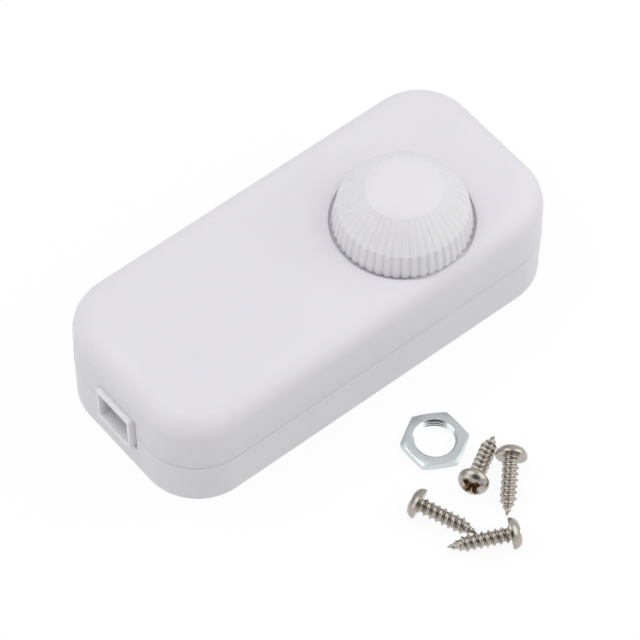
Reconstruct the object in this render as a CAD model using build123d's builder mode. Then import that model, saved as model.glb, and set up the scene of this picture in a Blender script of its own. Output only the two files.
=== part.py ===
from build123d import *
import os
from math import atan2, cos, degrees, radians, sin, sqrt, tan

os.makedirs("parts", exist_ok=True)

# The frame: origin at the middle of the case's underside, +X along the case towards
# the knob, +Y towards the far long side, +Z up. All sizes are millimetres and degrees.

# Case, outside
case_length = 100.0
case_width = 45.4
case_height = 25.6
corner_radius = 12.6
top_fillet = 5.0
top_draft = 1.0
parting_height = 11.9
base_inset = 0.12
base_draft = 0.5
base_edge = 0.8
parting_chamfer = 0.1
parting_groove_height = 0.35
parting_groove_depth = 0.6

# Case, inside
wall = 2.0
floor_thickness = 2.0
roof_thickness = 2.0
inner_fillet = 3.0
rebate_depth = 0.9
lip_height = 1.5
lip_clearance = 0.15

# Self-tapping screws, the case's own and the four that lie beside it
screw_length = 13.0
screw_radius = 1.75
screw_core_radius = 1.25
screw_pitch = 1.4
crest_foot = 1.0
crest_land = 0.14
screw_tip_length = 3.4
screw_head_radius = 3.25
screw_head_height = 2.3
screw_head_edge = 0.7
screw_head_shoulder_radius = 2.34
screw_head_shoulder_height = 1.93
recess_span = 4.0
recess_width = 1.0
recess_depth = 1.6
recess_taper = 10.0
recess_lead = 0.2
screw_hole_clearance = 0.25
pilot_clearance = 0.1
pilot_extra = 1.5

# Screw bosses
boss_end_inset = 9.5
boss_side_inset = 9.2
top_boss_radius = 3.5
base_boss_radius = 4.75
base_boss_top = 8.0
head_sink = 3.4

# Knob and the well that it turns in
knob_x = 19.3
knob_y = -5.8
well_radius = 15.07
well_depth = 3.2
well_wall = 1.6
well_floor = 1.6
ledge_depth = 0.9
ledge_inset = 0.4
knob_gap = 0.67
knob_skirt_drop = 0.4
knob_band_height = 5.4
knob_band_taper = 0.8
knob_shoulder_radius = 8.0
knob_shoulder_rise = 5.6
knob_cap_rise = 1.2
knob_wall = 1.8
flute_count = 48
flute_depth = 0.4
flute_radius = 0.5
rib_depth = 0.42
rib_end_depth = 0.12
flute_overrun = 3.0
rib_overrun = 1.0
hub_radius = 5.5

# Potentiometer
nut_flats = 12.4
nut_thickness = 2.0
nut_bore_radius = 4.2
nut_chamfer = 0.5
nut_face_radius = 5.95
nut_corner_slope = 27.0
pot_nut_turn = 15.0
thread_clearance = 0.05
washer_thickness = 0.6
washer_radius = 7.2
bushing_hole_clearance = 0.4
bushing_above_nut = 2.2
flange_side = 16.0
flange_thickness = 1.4
flange_corner = 2.0
bushing_chamfer = 0.3
shaft_radius = 3.0
running_clearance = 0.04
turning_gap = 0.3
loose_gap = 0.5
seat_clearance = 0.02
shaft_flat = 1.5
shaft_chamfer = 0.4
shaft_above_bushing = 7.1
shaft_collar_radius = 3.7
clip_thickness = 0.6
clip_radius = 4.2
clip_groove_radius = 2.5
clip_play = 0.1
clip_opening = 2.4
pot_shell_radius = 8.4
pot_shell_wall = 0.4
pot_shell_height = 8.4
wafer_thickness = 1.4
wafer_clearance = 0.1
tongue_width = 11.0
tongue_reach = 10.6
track_thickness = 0.1
track_width = 1.6
collector_from_shaft = 1.2
track_from_collector = 1.8
collector_width = 0.7
track_sweep = 290.0
carrier_radius = 7.3
carrier_thickness = 2.2
carrier_height = 1.8
stop_width = 28.0
stop_reach = 1.2
knob_travel = 300.0
stop_gap_angle = 2.0
wiper_gap = 0.15
wiper_thickness = 0.3
wiper_width = 2.4
finger_length = 0.5
finger_width = 1.2
terminal_spacing = 5.0
terminal_width = 1.0
terminal_thickness = 0.5
terminal_hook = 1.8
hole_clearance = 0.15

# Switch at the back of the potentiometer
switch_side = 15.0
switch_wall = 1.2
switch_corner = 1.5
rotor_radius = 4.3
rotor_lobe = 1.0
rotor_lobe_angle = 30.0
rotor_thickness = 2.2
contact_strip = 0.3
contact_offset = 6.0
contact_length = 8.0
switch_pin_spacing = 10.0

# Circuit board and what it carries
board_left_gap = 20.0
board_right_gap = 18.0
board_side_gap = 2.7
board_thickness = 1.6
board_bottom = 4.5
post_radius = 2.5
board_post_side_inset = 2.5
board_post_inset = 3.0
board_screw_radius = 1.1
board_screw_head = 2.1
board_screw_head_height = 1.4
board_screw_length = 4.0
board_pilot_sink = 0.8
board_recess_span = 2.2
board_recess_width = 0.5
board_corner = 2.0
lead_radius = 0.3
lead_below = 1.0

# Terminal blocks
block_depth = 8.0
block_width = 10.0
block_height = 10.0
output_block_y = 8.0
pole_spacing = 5.0
cage_side = 3.6
cage_wall = 0.5
cage_bottom = 1.6
block_screw_radius = 1.45
block_screw_length = 5.0
block_screw_slot = 0.6
block_chamfer = 1.2
block_back_wall = 1.0

# Fuse and its clips
fuse_x = -12.0
fuse_y = -12.0
fuse_height = 4.0
fuse_length = 20.0
fuse_radius = 2.6
fuse_cap_length = 5.0
fuse_cap_wall = 0.25
fuse_glass = 0.7
fuse_wire_radius = 0.12
clip_arm = 0.5
fuse_clip_length = 3.4
fuse_clip_mouth = 3.8

# Capacitors, as length, width and height
film_size = (13.0, 6.0, 11.0)
film_place = (-16.0, 13.0)
film_pitch = 10.0
timing_size = (7.2, 3.4, 7.5)
timing_place = (2.5, 1.2)
timing_pitch = 5.0
capacitor_edge = 0.7

# Resistors and diac
resistor_radius = 1.2
resistor_length = 6.3
resistor_span = 9.6
resistor_x = 4.0
resistor_ys = (-6.5, -9.5, -12.5)
diac_radius = 0.9
diac_length = 4.0
diac_span = 6.5
diac_place = (4.0, -3.2)
axial_gap = 0.3

# Choke
choke_place = (-11.5, 0.0)
core_outer = 7.0
core_inner = 3.8
core_height = 6.0
core_edge = 0.4
winding_thickness = 0.9
winding_clearance = 0.05
winding_sweep = 280.0
choke_foot_angle = 48.0

# Triac and heat sink
sink_left = -0.5
sink_right = 17.0
sink_y = 11.0
sink_width = 12.8
sink_base = 1.5
sink_fin = 1.2
sink_height = 8.0
sink_screw_x = 13.2
sink_screw_radius = 1.5
sink_screw_head = 2.75
sink_screw_head_height = 2.0
sink_screw_edge = 0.6
sink_screw_length = 6.0
sink_nut_flats = 5.5
sink_nut_thickness = 2.4
triac_width = 10.0
triac_left = 0.5
triac_tab_length = 15.5
triac_tab_thickness = 1.3
triac_body_length = 9.2
triac_body_height = 3.2
triac_body_edge = 0.4
triac_lead_pitch = 2.54
triac_lead_x = -2.2
triac_lead_side = 0.6
triac_lead_rise = 1.0
triac_hole_radius = 1.85

# Cord collars and cord clamps
collar_width = 10.6
collar_height = 9.5
collar_bottom = 6.9
collar_wall_side = 0.7
collar_wall_end = 1.15
collar_proud = 1.0
collar_fit = 0.1
collar_side_gap = 0.95
collar_relief_depth = 0.8
collar_flange = 0.8
collar_flange_thickness = 1.2
collar_stop_gap = 0.1
collar_stop_thickness = 1.2
collar_stop_width = 2.0
clamp_inset = 12.0
clamp_post_y = 7.0
clamp_post_top = 13.2
clamp_thickness = 2.5
clamp_depth = 6.0
clamp_edge = 0.5
clamp_sill = 2.0

# Hardware that lies beside the case: the nut's middle and, for each screw, the point on
# the surface under the middle of its head's underside, with the way that its tip points
loose_nut_place = (0.64, -39.28)
loose_nut_turn = 30.3
loose_screw_places = [
    ((-0.2, -52.5), 30.6),
    ((9.1, -53.1), -134.2),
    ((-12.4, -50.2), -65.4),
    ((-2.9, -66.8), 149.5),
]


def save(part, name):
    part.label = name
    export_step(part, "parts/" + name + ".step")


def case_outline(inset, mode=Mode.ADD):
    """The case's plan outline, brought in by inset all round."""
    RectangleRounded(case_length - 2 * inset, case_width - 2 * inset, corner_radius - inset, mode=mode)


def ring_sector(inner, outer, middle_angle, sweep):
    """A flat band along part of a circle, as a sketch about the origin."""
    start = middle_angle - sweep / 2
    with BuildSketch() as sector:
        with BuildLine():
            outer_arc = CenterArc((0, 0), outer, start, sweep)
            inner_arc = CenterArc((0, 0), inner, start, sweep)
            Line(outer_arc @ 0, inner_arc @ 0)
            Line(outer_arc @ 1, inner_arc @ 1)
        make_face()
    return sector.sketch


def pair(place, pitch):
    """Two points, a pitch apart along X about a place."""
    return [(place[0] - pitch / 2, place[1]), (place[0] + pitch / 2, place[1])]


# Heights that follow from the sizes above
roof_z = case_height - roof_thickness
well_top_z = case_height - well_depth
pot_face_z = well_top_z - well_floor
nut_bottom_z = well_top_z + washer_thickness
nut_top_z = nut_bottom_z + nut_thickness
bushing_top_z = nut_top_z + bushing_above_nut
shaft_top_z = bushing_top_z + shaft_above_bushing
knob_bottom_z = case_height - knob_skirt_drop
band_top_z = knob_bottom_z + knob_band_height
shoulder_z = band_top_z + knob_shoulder_rise
knob_top_z = shoulder_z + knob_cap_rise
knob_radius = well_radius - knob_gap
ledge_z = case_height - ledge_depth
well_middle_radius = knob_radius - knob_wall + ledge_inset
band_top_radius = knob_radius - knob_band_taper
clip_z = bushing_top_z + clip_play
hub_bottom_z = clip_z + clip_thickness + loose_gap
board_top_z = board_bottom + board_thickness
pot_shell_top_z = pot_face_z - flange_thickness
pot_shell_bottom_z = pot_shell_top_z - pot_shell_height
wafer_top_z = pot_shell_bottom_z + wafer_thickness
screw_tip_z = head_sink + screw_length
knob_axis = (knob_x, knob_y)
collector_radius = shaft_radius + collector_from_shaft
track_radius = collector_radius + track_from_collector

# Places that follow from the case's outline
boss_x = case_length / 2 - boss_end_inset
boss_y = case_width / 2 - boss_side_inset
clamp_x = case_length / 2 - clamp_inset
board_left = board_left_gap - case_length / 2
board_right = case_length / 2 - board_right_gap
board_width = case_width - 2 * wall - 2 * board_side_gap
board_post_y = board_width / 2 - board_post_side_inset


# Outside form of the top cover, used for the cover and for the wall of the knob's well
with BuildPart() as outer_form:
    with BuildSketch(Plane.XY.offset(parting_height)):
        case_outline(0)
    extrude(amount=case_height - parting_height, taper=top_draft)
    fillet(outer_form.faces().sort_by(Axis.Z)[-1].edges(), radius=top_fillet)
    chamfer(outer_form.faces().sort_by(Axis.Z)[0].edges(), length=parting_chamfer)

with BuildPart() as inner_form:
    with BuildSketch(Plane.XY.offset(parting_height)):
        case_outline(wall)
    extrude(amount=roof_z - parting_height, taper=top_draft)
    fillet(inner_form.faces().sort_by(Axis.Z)[-1].edges(), radius=inner_fillet)

with BuildPart() as well_block:
    add(outer_form.part)
    with BuildSketch(Plane.XY.offset(pot_face_z)):
        with Locations(knob_axis):
            Circle(well_radius + well_wall)
    extrude(amount=case_height - pot_face_z, mode=Mode.INTERSECT)

# Each cord collar passes through a notch that both covers share. At one end the wall has
# a shallow relief on the notch's -Y side, and the other end is the same turned round.
notch_length = 2 * (wall + collar_proud)
collar_top = collar_bottom + collar_height
relief_length = 2 * (collar_relief_depth + collar_proud)
with BuildPart() as notch_cut:
    with BuildSketch(Plane.XY.offset(collar_bottom - collar_fit / 2)):
        with GridLocations(case_length - wall, 0, 2, 1):
            Rectangle(notch_length, collar_width + collar_fit)
        for side in (-1, 1):
            with Locations((side * (case_length / 2 + collar_proud), side * collar_side_gap / 2)):
                Rectangle(relief_length, collar_width + collar_fit + collar_side_gap)
    extrude(amount=collar_height + collar_fit)

# Top cover
with BuildPart() as top_cover:
    add(outer_form.part)
    add(inner_form.part, mode=Mode.SUBTRACT)
    add(well_block.part)
    with BuildSketch(Plane.XY.offset(parting_height)):
        case_outline(wall - rebate_depth)
    extrude(amount=lip_height + lip_clearance, mode=Mode.SUBTRACT)
    # The well has a shallow ledge under the knob's rim and is deeper in its middle
    with BuildSketch(Plane.XY.offset(ledge_z)):
        with Locations(knob_axis):
            Circle(well_radius)
    extrude(amount=case_height, mode=Mode.SUBTRACT)
    with BuildSketch(Plane.XY.offset(well_top_z)):
        with Locations(knob_axis):
            Circle(well_middle_radius)
    extrude(amount=case_height, mode=Mode.SUBTRACT)
    with BuildSketch(Plane.XY.offset(pot_face_z)):
        with Locations(knob_axis):
            Circle(nut_bore_radius + bushing_hole_clearance)
    extrude(amount=well_floor, mode=Mode.SUBTRACT)
    with BuildSketch(Plane.XY.offset(base_boss_top)):
        with GridLocations(2 * boss_x, 2 * boss_y, 2, 2):
            Circle(top_boss_radius)
    extrude(amount=roof_z - base_boss_top + roof_thickness / 4)
    with BuildSketch(Plane.XY.offset(base_boss_top)):
        with GridLocations(2 * boss_x, 2 * boss_y, 2, 2):
            Circle(screw_radius + pilot_clearance)
    extrude(amount=screw_tip_z + pilot_extra - base_boss_top, mode=Mode.SUBTRACT)
    add(notch_cut.part, mode=Mode.SUBTRACT)
save(top_cover.part, "top_cover")

# Base cover
board_posts = [
    (board_left + board_post_inset, -board_post_y),
    (board_left + board_post_inset, board_post_y),
    (board_right - board_post_inset, -board_post_y),
    (board_right - board_post_inset, board_post_y),
]
clamp_posts = [(sx * clamp_x, sy * clamp_post_y) for sx in (-1, 1) for sy in (-1, 1)]
collar_inner_x = case_length / 2 - wall - base_inset - collar_fit - collar_flange_thickness
stop_x = collar_inner_x - collar_stop_gap - collar_stop_thickness / 2
stop_y = collar_width / 2 - collar_wall_side + collar_stop_width / 2 + collar_stop_gap
with BuildPart() as base_cover:
    with BuildSketch(Plane.XY.offset(parting_height)):
        case_outline(base_inset)
    extrude(amount=parting_height, dir=(0, 0, -1), taper=base_draft)
    fillet(base_cover.faces().sort_by(Axis.Z)[0].edges(), radius=base_edge)
    with BuildSketch(Plane.XY.offset(parting_height)):
        case_outline(0)
        case_outline(base_inset + parting_groove_depth, mode=Mode.SUBTRACT)
    extrude(amount=parting_groove_height, dir=(0, 0, -1), mode=Mode.SUBTRACT)
    with BuildSketch(Plane.XY.offset(parting_height)):
        case_outline(base_inset + wall)
    extrude(amount=parting_height - floor_thickness, dir=(0, 0, -1), mode=Mode.SUBTRACT)
    with BuildSketch(Plane.XY.offset(parting_height)):
        case_outline(wall - rebate_depth + lip_clearance)
        offset(amount=-(rebate_depth + base_inset - lip_clearance), mode=Mode.SUBTRACT)
    extrude(amount=lip_height)
    with BuildSketch(Plane.XY.offset(floor_thickness)):
        with GridLocations(2 * boss_x, 2 * boss_y, 2, 2):
            Circle(base_boss_radius)
    extrude(amount=base_boss_top - floor_thickness)
    with BuildSketch(Plane.XY.offset(floor_thickness)):
        with Locations(board_posts):
            Circle(post_radius)
    extrude(amount=board_bottom - floor_thickness)
    with BuildSketch(Plane.XY.offset(floor_thickness)):
        with Locations(clamp_posts):
            Circle(post_radius)
    extrude(amount=clamp_post_top - floor_thickness)
    with BuildSketch(Plane.XY.offset(floor_thickness)):
        with GridLocations(2 * stop_x, 2 * stop_y, 2, 2):
            Rectangle(collar_stop_thickness, collar_stop_width)
    extrude(amount=collar_top - floor_thickness)
    with BuildSketch(Plane.XY.offset(floor_thickness)):
        with GridLocations(2 * clamp_x, 0, 2, 1):
            Rectangle(clamp_sill, 2 * (clamp_post_y - post_radius))
    extrude(amount=collar_bottom + collar_wall_end - floor_thickness)
    with BuildSketch(Plane.XY):
        with GridLocations(2 * boss_x, 2 * boss_y, 2, 2):
            Circle(screw_head_radius + screw_hole_clearance)
    extrude(amount=head_sink, mode=Mode.SUBTRACT)
    with BuildSketch(Plane.XY.offset(head_sink)):
        with GridLocations(2 * boss_x, 2 * boss_y, 2, 2):
            Circle(screw_radius + screw_hole_clearance)
    extrude(amount=base_boss_top - head_sink, mode=Mode.SUBTRACT)
    with BuildSketch(Plane.XY.offset(floor_thickness - board_pilot_sink)):
        with Locations(board_posts):
            Circle(board_screw_radius)
    extrude(amount=board_bottom, mode=Mode.SUBTRACT)
    with BuildSketch(Plane.XY.offset(floor_thickness)):
        with Locations(clamp_posts):
            Circle(screw_core_radius + pilot_clearance)
    extrude(amount=clamp_post_top, mode=Mode.SUBTRACT)
    add(notch_cut.part, mode=Mode.SUBTRACT)
save(base_cover.part, "base_cover")

# Cord collars: a rectangular sleeve that stands proud of the end wall, with a flange
# behind the wall
collar_mid_z = collar_bottom + collar_height / 2
hole_width = collar_width - 2 * collar_wall_side
hole_height = collar_height - 2 * collar_wall_end
sleeve_length = collar_proud + wall + base_inset + collar_fit
for side, name in ((-1, "cord_collar_in"), (1, "cord_collar_out")):
    end_plane = Plane((side * (case_length / 2 + collar_proud), 0, collar_mid_z),
                      x_dir=(0, -side, 0), z_dir=(-side, 0, 0))
    flange_plane = end_plane.offset(sleeve_length)
    with BuildPart() as cord_collar:
        with BuildSketch(end_plane):
            Rectangle(collar_width, collar_height)
            Rectangle(hole_width, hole_height, mode=Mode.SUBTRACT)
        extrude(amount=sleeve_length)
        with BuildSketch(flange_plane):
            Rectangle(collar_width + 2 * collar_flange, collar_height + 2 * collar_flange)
            Rectangle(hole_width, hole_height, mode=Mode.SUBTRACT)
        extrude(amount=collar_flange_thickness)
    save(cord_collar.part, name)

# Cord clamps: a bridge over the cord, standing on two posts of the base
for side, name in ((-1, "cord_clamp_in"), (1, "cord_clamp_out")):
    with BuildPart() as cord_clamp:
        with BuildSketch(Plane.XY.offset(clamp_post_top)):
            with Locations((side * clamp_x, 0)):
                SlotOverall(2 * clamp_post_y + clamp_depth, clamp_depth, rotation=90)
        extrude(amount=clamp_thickness)
        fillet(cord_clamp.faces().sort_by(Axis.Z)[-1].edges(), radius=clamp_edge)
        with BuildSketch(Plane.XY.offset(clamp_post_top)):
            with Locations([(side * clamp_x, sy * clamp_post_y) for sy in (-1, 1)]):
                Circle(screw_radius + screw_hole_clearance)
        extrude(amount=clamp_thickness, mode=Mode.SUBTRACT)
    save(cord_clamp.part, name)


# One self-tapping screw along +Z, its head's underside at the origin and its tip up. The
# thread is a row of rings, because the helix is left to the looks.
crest_start = (screw_pitch + crest_foot) / 2
crest_count = int((screw_length - screw_tip_length - crest_foot) / screw_pitch)
outline = [(0, 0), (screw_core_radius, 0)]
for crest in range(crest_count):
    crest_z = crest_start + crest * screw_pitch
    outline += [
        (screw_core_radius, crest_z - crest_foot / 2),
        (screw_radius, crest_z - crest_land / 2),
        (screw_radius, crest_z + crest_land / 2),
        (screw_core_radius, crest_z + crest_foot / 2),
    ]
outline += [(screw_core_radius, screw_length - screw_tip_length), (0, screw_length)]
with BuildPart() as screw:
    with BuildSketch(Plane.XZ):
        with BuildLine():
            Polyline(*outline, close=True)
        make_face()
    revolve(axis=Axis.Z)
    with BuildSketch(Plane.XZ):
        with BuildLine():
            Line((0, 0), (screw_head_radius, 0))
            Line((screw_head_radius, 0), (screw_head_radius, -screw_head_edge))
            ThreePointArc((screw_head_radius, -screw_head_edge),
                          (screw_head_shoulder_radius, -screw_head_shoulder_height),
                          (0, -screw_head_height))
            Line((0, -screw_head_height), (0, 0))
        make_face()
    revolve(axis=Axis.Z)
    with BuildSketch(Plane.XY.offset(-screw_head_height - recess_lead)):
        Rectangle(recess_span, recess_width)
        Rectangle(recess_width, recess_span)
    extrude(amount=recess_depth + recess_lead, taper=recess_taper, mode=Mode.SUBTRACT)

# Screws that hold the base to the top cover, driven from below
case_screw_solids = [Pos(sx * boss_x, sy * boss_y, head_sink) * screw.part
                     for sx in (-1, 1) for sy in (-1, 1)]
with BuildPart() as case_screws:
    add(case_screw_solids)
save(case_screws.part, "case_screws")

# The loose screws rest on the rim of the head and on the last full crest of the thread
last_crest_z = crest_start + (crest_count - 1) * screw_pitch + crest_land / 2
lying_tilt = degrees(atan2(screw_head_radius - screw_radius, last_crest_z))
lying_height = screw_head_radius * cos(radians(lying_tilt))
loose_screw_solids = [
    Pos(place[0], place[1], lying_height) * Rot(0, 0, heading) * Rot(0, 90 + lying_tilt, 0) * screw.part
    for place, heading in loose_screw_places
]
with BuildPart() as loose_screws:
    add(loose_screw_solids)
save(loose_screws.part, "loose_screws")

# Hexagon nuts, one on the potentiometer's bushing and one beside the case
nut_corner_radius = nut_flats / sqrt(3)
nut_lens_radius = nut_corner_radius + nut_chamfer
nut_lens_drop = (nut_lens_radius - nut_face_radius) * tan(radians(nut_corner_slope))
for name, place, bottom_z, turn in (
    ("pot_nut", knob_axis, nut_bottom_z, pot_nut_turn),
    ("loose_nut", loose_nut_place, 0, loose_nut_turn),
):
    with BuildPart() as hex_nut:
        with BuildSketch(Plane.XY.offset(bottom_z)):
            with Locations(place):
                RegularPolygon(radius=nut_corner_radius, side_count=6, rotation=turn)
                Circle(nut_bore_radius, mode=Mode.SUBTRACT)
        extrude(amount=nut_thickness)
        chamfer(hex_nut.edges().filter_by(GeomType.CIRCLE), length=nut_chamfer)
        with BuildSketch(Plane((*place, bottom_z), x_dir=(1, 0, 0), z_dir=(0, -1, 0))):
            with BuildLine():
                Polyline((0, 0), (nut_face_radius, 0), (nut_lens_radius, nut_lens_drop),
                         (nut_lens_radius, nut_thickness - nut_lens_drop),
                         (nut_face_radius, nut_thickness), (0, nut_thickness), close=True)
            make_face()
        revolve(axis=Axis((*place, bottom_z), (0, 0, 1)), mode=Mode.INTERSECT)
    save(hex_nut.part, name)

# Lock washer under the nut
with BuildPart() as pot_washer:
    with BuildSketch(Plane.XY.offset(well_top_z)):
        with Locations(knob_axis):
            Circle(washer_radius)
            Circle(nut_bore_radius + bushing_hole_clearance, mode=Mode.SUBTRACT)
    extrude(amount=washer_thickness)
save(pot_washer.part, "pot_washer")

# Bushing and its flange, one casting. The thread is modelled at its core.
with BuildPart() as pot_bushing:
    with BuildSketch(Plane.XY.offset(pot_shell_top_z)):
        with Locations(knob_axis):
            RectangleRounded(flange_side, flange_side, flange_corner)
    extrude(amount=flange_thickness)
    with BuildSketch(Plane.XY.offset(pot_face_z)):
        with Locations(knob_axis):
            Circle(nut_bore_radius - thread_clearance)
    extrude(amount=bushing_top_z - pot_face_z)
    chamfer(pot_bushing.faces().sort_by(Axis.Z)[-1].edges(), length=bushing_chamfer)
    with BuildSketch(Plane.XY.offset(pot_shell_top_z)):
        with Locations(knob_axis):
            Circle(shaft_radius + running_clearance)
    extrude(amount=bushing_top_z, mode=Mode.SUBTRACT)
save(pot_bushing.part, "pot_bushing")

# Shell of the potentiometer, with a slot for the wafer's tongue and a stop for the carrier
stop_bottom_z = wafer_top_z + carrier_height
stop_face = ring_sector(carrier_radius - stop_reach + turning_gap,
                        pot_shell_radius - pot_shell_wall / 2, 90, stop_width)
with BuildPart() as pot_shell:
    with BuildSketch(Plane.XY.offset(pot_shell_bottom_z)):
        with Locations(knob_axis):
            Circle(pot_shell_radius)
    extrude(amount=pot_shell_height)
    with BuildSketch(Plane.XY.offset(pot_shell_bottom_z)):
        with Locations(knob_axis):
            Circle(pot_shell_radius - pot_shell_wall)
    extrude(amount=pot_shell_height - pot_shell_wall, mode=Mode.SUBTRACT)
    with BuildSketch(Plane.XY.offset(pot_shell_top_z - pot_shell_wall)):
        with Locations(knob_axis):
            Circle(shaft_collar_radius + turning_gap)
    extrude(amount=pot_shell_wall, mode=Mode.SUBTRACT)
    with BuildSketch(Plane.XY.offset(pot_shell_bottom_z)):
        with Locations((knob_x, knob_y - pot_shell_radius)):
            Rectangle(tongue_width + 2 * wafer_clearance, pot_shell_radius)
    extrude(amount=wafer_thickness + wafer_clearance, mode=Mode.SUBTRACT)
    with BuildSketch(Plane.XY.offset(stop_bottom_z)):
        with Locations(knob_axis):
            add(stop_face)
    extrude(amount=carrier_thickness)
save(pot_shell.part, "pot_shell")

# Wafer that carries the resistance track, with a tongue for the terminals
with BuildPart() as pot_wafer:
    with BuildSketch(Plane.XY.offset(pot_shell_bottom_z)):
        with Locations(knob_axis):
            Circle(pot_shell_radius - pot_shell_wall - wafer_clearance)
        with Locations((knob_x, knob_y - tongue_reach / 2)):
            Rectangle(tongue_width, tongue_reach)
        with Locations(knob_axis):
            Circle(shaft_radius + turning_gap, mode=Mode.SUBTRACT)
    extrude(amount=wafer_thickness)
save(pot_wafer.part, "pot_wafer")


# Resistance track and collector ring, printed on the wafer
track_face = ring_sector(track_radius - track_width / 2, track_radius + track_width / 2,
                         90, track_sweep)
with BuildPart() as pot_track:
    with BuildSketch(Plane.XY.offset(wafer_top_z)):
        with Locations(knob_axis):
            add(track_face)
    extrude(amount=track_thickness)
    with BuildSketch(Plane.XY.offset(wafer_top_z)):
        with Locations(knob_axis):
            Circle(collector_radius + collector_width / 2)
            Circle(collector_radius - collector_width / 2, mode=Mode.SUBTRACT)
    extrude(amount=track_thickness)
save(pot_track.part, "pot_track")

# Shaft, with its collar, the clip's groove and the flat that drives the knob
carrier_bottom_z = wafer_top_z + carrier_height
carrier_top_z = carrier_bottom_z + carrier_thickness
rotor_bottom_z = board_top_z + switch_wall + loose_gap
with BuildPart() as pot_shaft:
    with BuildSketch(Plane.XY.offset(rotor_bottom_z)):
        with Locations(knob_axis):
            Circle(shaft_radius)
    extrude(amount=shaft_top_z - rotor_bottom_z)
    chamfer(pot_shaft.faces().sort_by(Axis.Z)[-1].edges(), length=shaft_chamfer)
    with BuildSketch(Plane.XY.offset(carrier_top_z)):
        with Locations(knob_axis):
            Circle(shaft_collar_radius)
    extrude(amount=pot_shell_top_z - clip_play - carrier_top_z)
    with BuildSketch(Plane.XY.offset(clip_z)):
        with Locations(knob_axis):
            Circle(shaft_collar_radius)
            Circle(clip_groove_radius, mode=Mode.SUBTRACT)
    extrude(amount=clip_thickness, mode=Mode.SUBTRACT)
    with BuildSketch(Plane.XY.offset(hub_bottom_z)):
        with Locations((knob_x, knob_y + shaft_radius - shaft_flat / 2)):
            Rectangle(2 * shaft_radius, shaft_flat)
    extrude(amount=shaft_top_z, mode=Mode.SUBTRACT)
save(pot_shaft.part, "pot_shaft")

# Spring clip that keeps the shaft in the bushing
with BuildPart() as shaft_clip:
    with BuildSketch(Plane.XY.offset(clip_z)):
        with Locations(knob_axis):
            Circle(clip_radius)
            Circle(clip_groove_radius, mode=Mode.SUBTRACT)
        with Locations((knob_x, knob_y - clip_radius)):
            Rectangle(clip_opening, 2 * clip_radius, mode=Mode.SUBTRACT)
    extrude(amount=clip_thickness)
save(shaft_clip.part, "shaft_clip")

# Wiper carrier on the shaft, with the lug that meets the shell's stop
lug_width = 360 - knob_travel - stop_width - 2 * stop_gap_angle
lug_angle = 90 - stop_width / 2 - stop_gap_angle - lug_width / 2
lug_face = ring_sector(shaft_radius + stop_reach, carrier_radius, lug_angle, lug_width)
with BuildPart() as wiper_carrier:
    with BuildSketch(Plane.XY.offset(carrier_bottom_z)):
        with Locations(knob_axis):
            Circle(carrier_radius - stop_reach)
            add(lug_face)
            Circle(shaft_radius + seat_clearance, mode=Mode.SUBTRACT)
    extrude(amount=carrier_thickness)
save(wiper_carrier.part, "wiper_carrier")

# Wiper: a brass plate under the carrier with a finger over the track and one over the ring
wiper_bottom_z = wafer_top_z + track_thickness + wiper_gap
with BuildPart() as wiper:
    with BuildSketch(Plane.XY.offset(carrier_bottom_z - wiper_thickness)):
        with Locations((knob_x + (track_radius + collector_radius) / 2, knob_y)):
            Rectangle(track_radius - collector_radius + track_width, wiper_width)
    extrude(amount=wiper_thickness)
    with BuildSketch(Plane.XY.offset(wiper_bottom_z)):
        with Locations((knob_x + track_radius, knob_y), (knob_x + collector_radius, knob_y)):
            Rectangle(finger_length, finger_width)
    extrude(amount=carrier_bottom_z - wiper_thickness - wiper_bottom_z)
save(wiper.part, "wiper")

# Terminals of the potentiometer: off the tongue and down through the board
terminal_y = knob_y - tongue_reach - terminal_thickness / 2 - wafer_clearance
terminal_foot_z = board_bottom - lead_below
terminal_xs = [knob_x + k * terminal_spacing for k in (-1, 0, 1)]
with BuildPart() as pot_terminals:
    with BuildSketch(Plane.XY.offset(wafer_top_z)):
        with Locations([(x, terminal_y + terminal_hook / 2) for x in terminal_xs]):
            Rectangle(terminal_width, terminal_hook)
    extrude(amount=terminal_thickness)
    with BuildSketch(Plane.XY.offset(terminal_foot_z)):
        with Locations([(x, terminal_y) for x in terminal_xs]):
            Rectangle(terminal_width, terminal_thickness)
    extrude(amount=wafer_top_z + terminal_thickness - terminal_foot_z)
save(pot_terminals.part, "pot_terminals")

# Switch housing between the board and the wafer
switch_pins = [(knob_x + k * switch_pin_spacing / 2, knob_y + contact_offset) for k in (-1, 1)]
switch_cavity = switch_side - 2 * switch_wall
with BuildPart() as switch_housing:
    with BuildSketch(Plane.XY.offset(board_top_z)):
        with Locations(knob_axis):
            RectangleRounded(switch_side, switch_side, switch_corner)
    extrude(amount=pot_shell_bottom_z - board_top_z)
    with BuildSketch(Plane.XY.offset(board_top_z + switch_wall)):
        with Locations(knob_axis):
            RectangleRounded(switch_cavity, switch_cavity, switch_corner - switch_wall / 2)
    extrude(amount=pot_shell_bottom_z, mode=Mode.SUBTRACT)
    with BuildSketch(Plane.XY.offset(board_top_z)):
        with Locations(switch_pins):
            Rectangle(terminal_width + 2 * hole_clearance, terminal_thickness + 2 * hole_clearance)
    extrude(amount=switch_wall, mode=Mode.SUBTRACT)
save(switch_housing.part, "switch_housing")

# Switch rotor on the shaft's lower end, with the lobe that lifts the contact strip
lobe_face = ring_sector(rotor_radius - rotor_lobe / 2, rotor_radius + rotor_lobe, 90, rotor_lobe_angle)
with BuildPart() as switch_rotor:
    with BuildSketch(Plane.XY.offset(rotor_bottom_z)):
        with Locations(knob_axis):
            Circle(rotor_radius)
            add(lobe_face)
            Circle(shaft_radius + seat_clearance, mode=Mode.SUBTRACT)
    extrude(amount=rotor_thickness)
save(switch_rotor.part, "switch_rotor")

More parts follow.
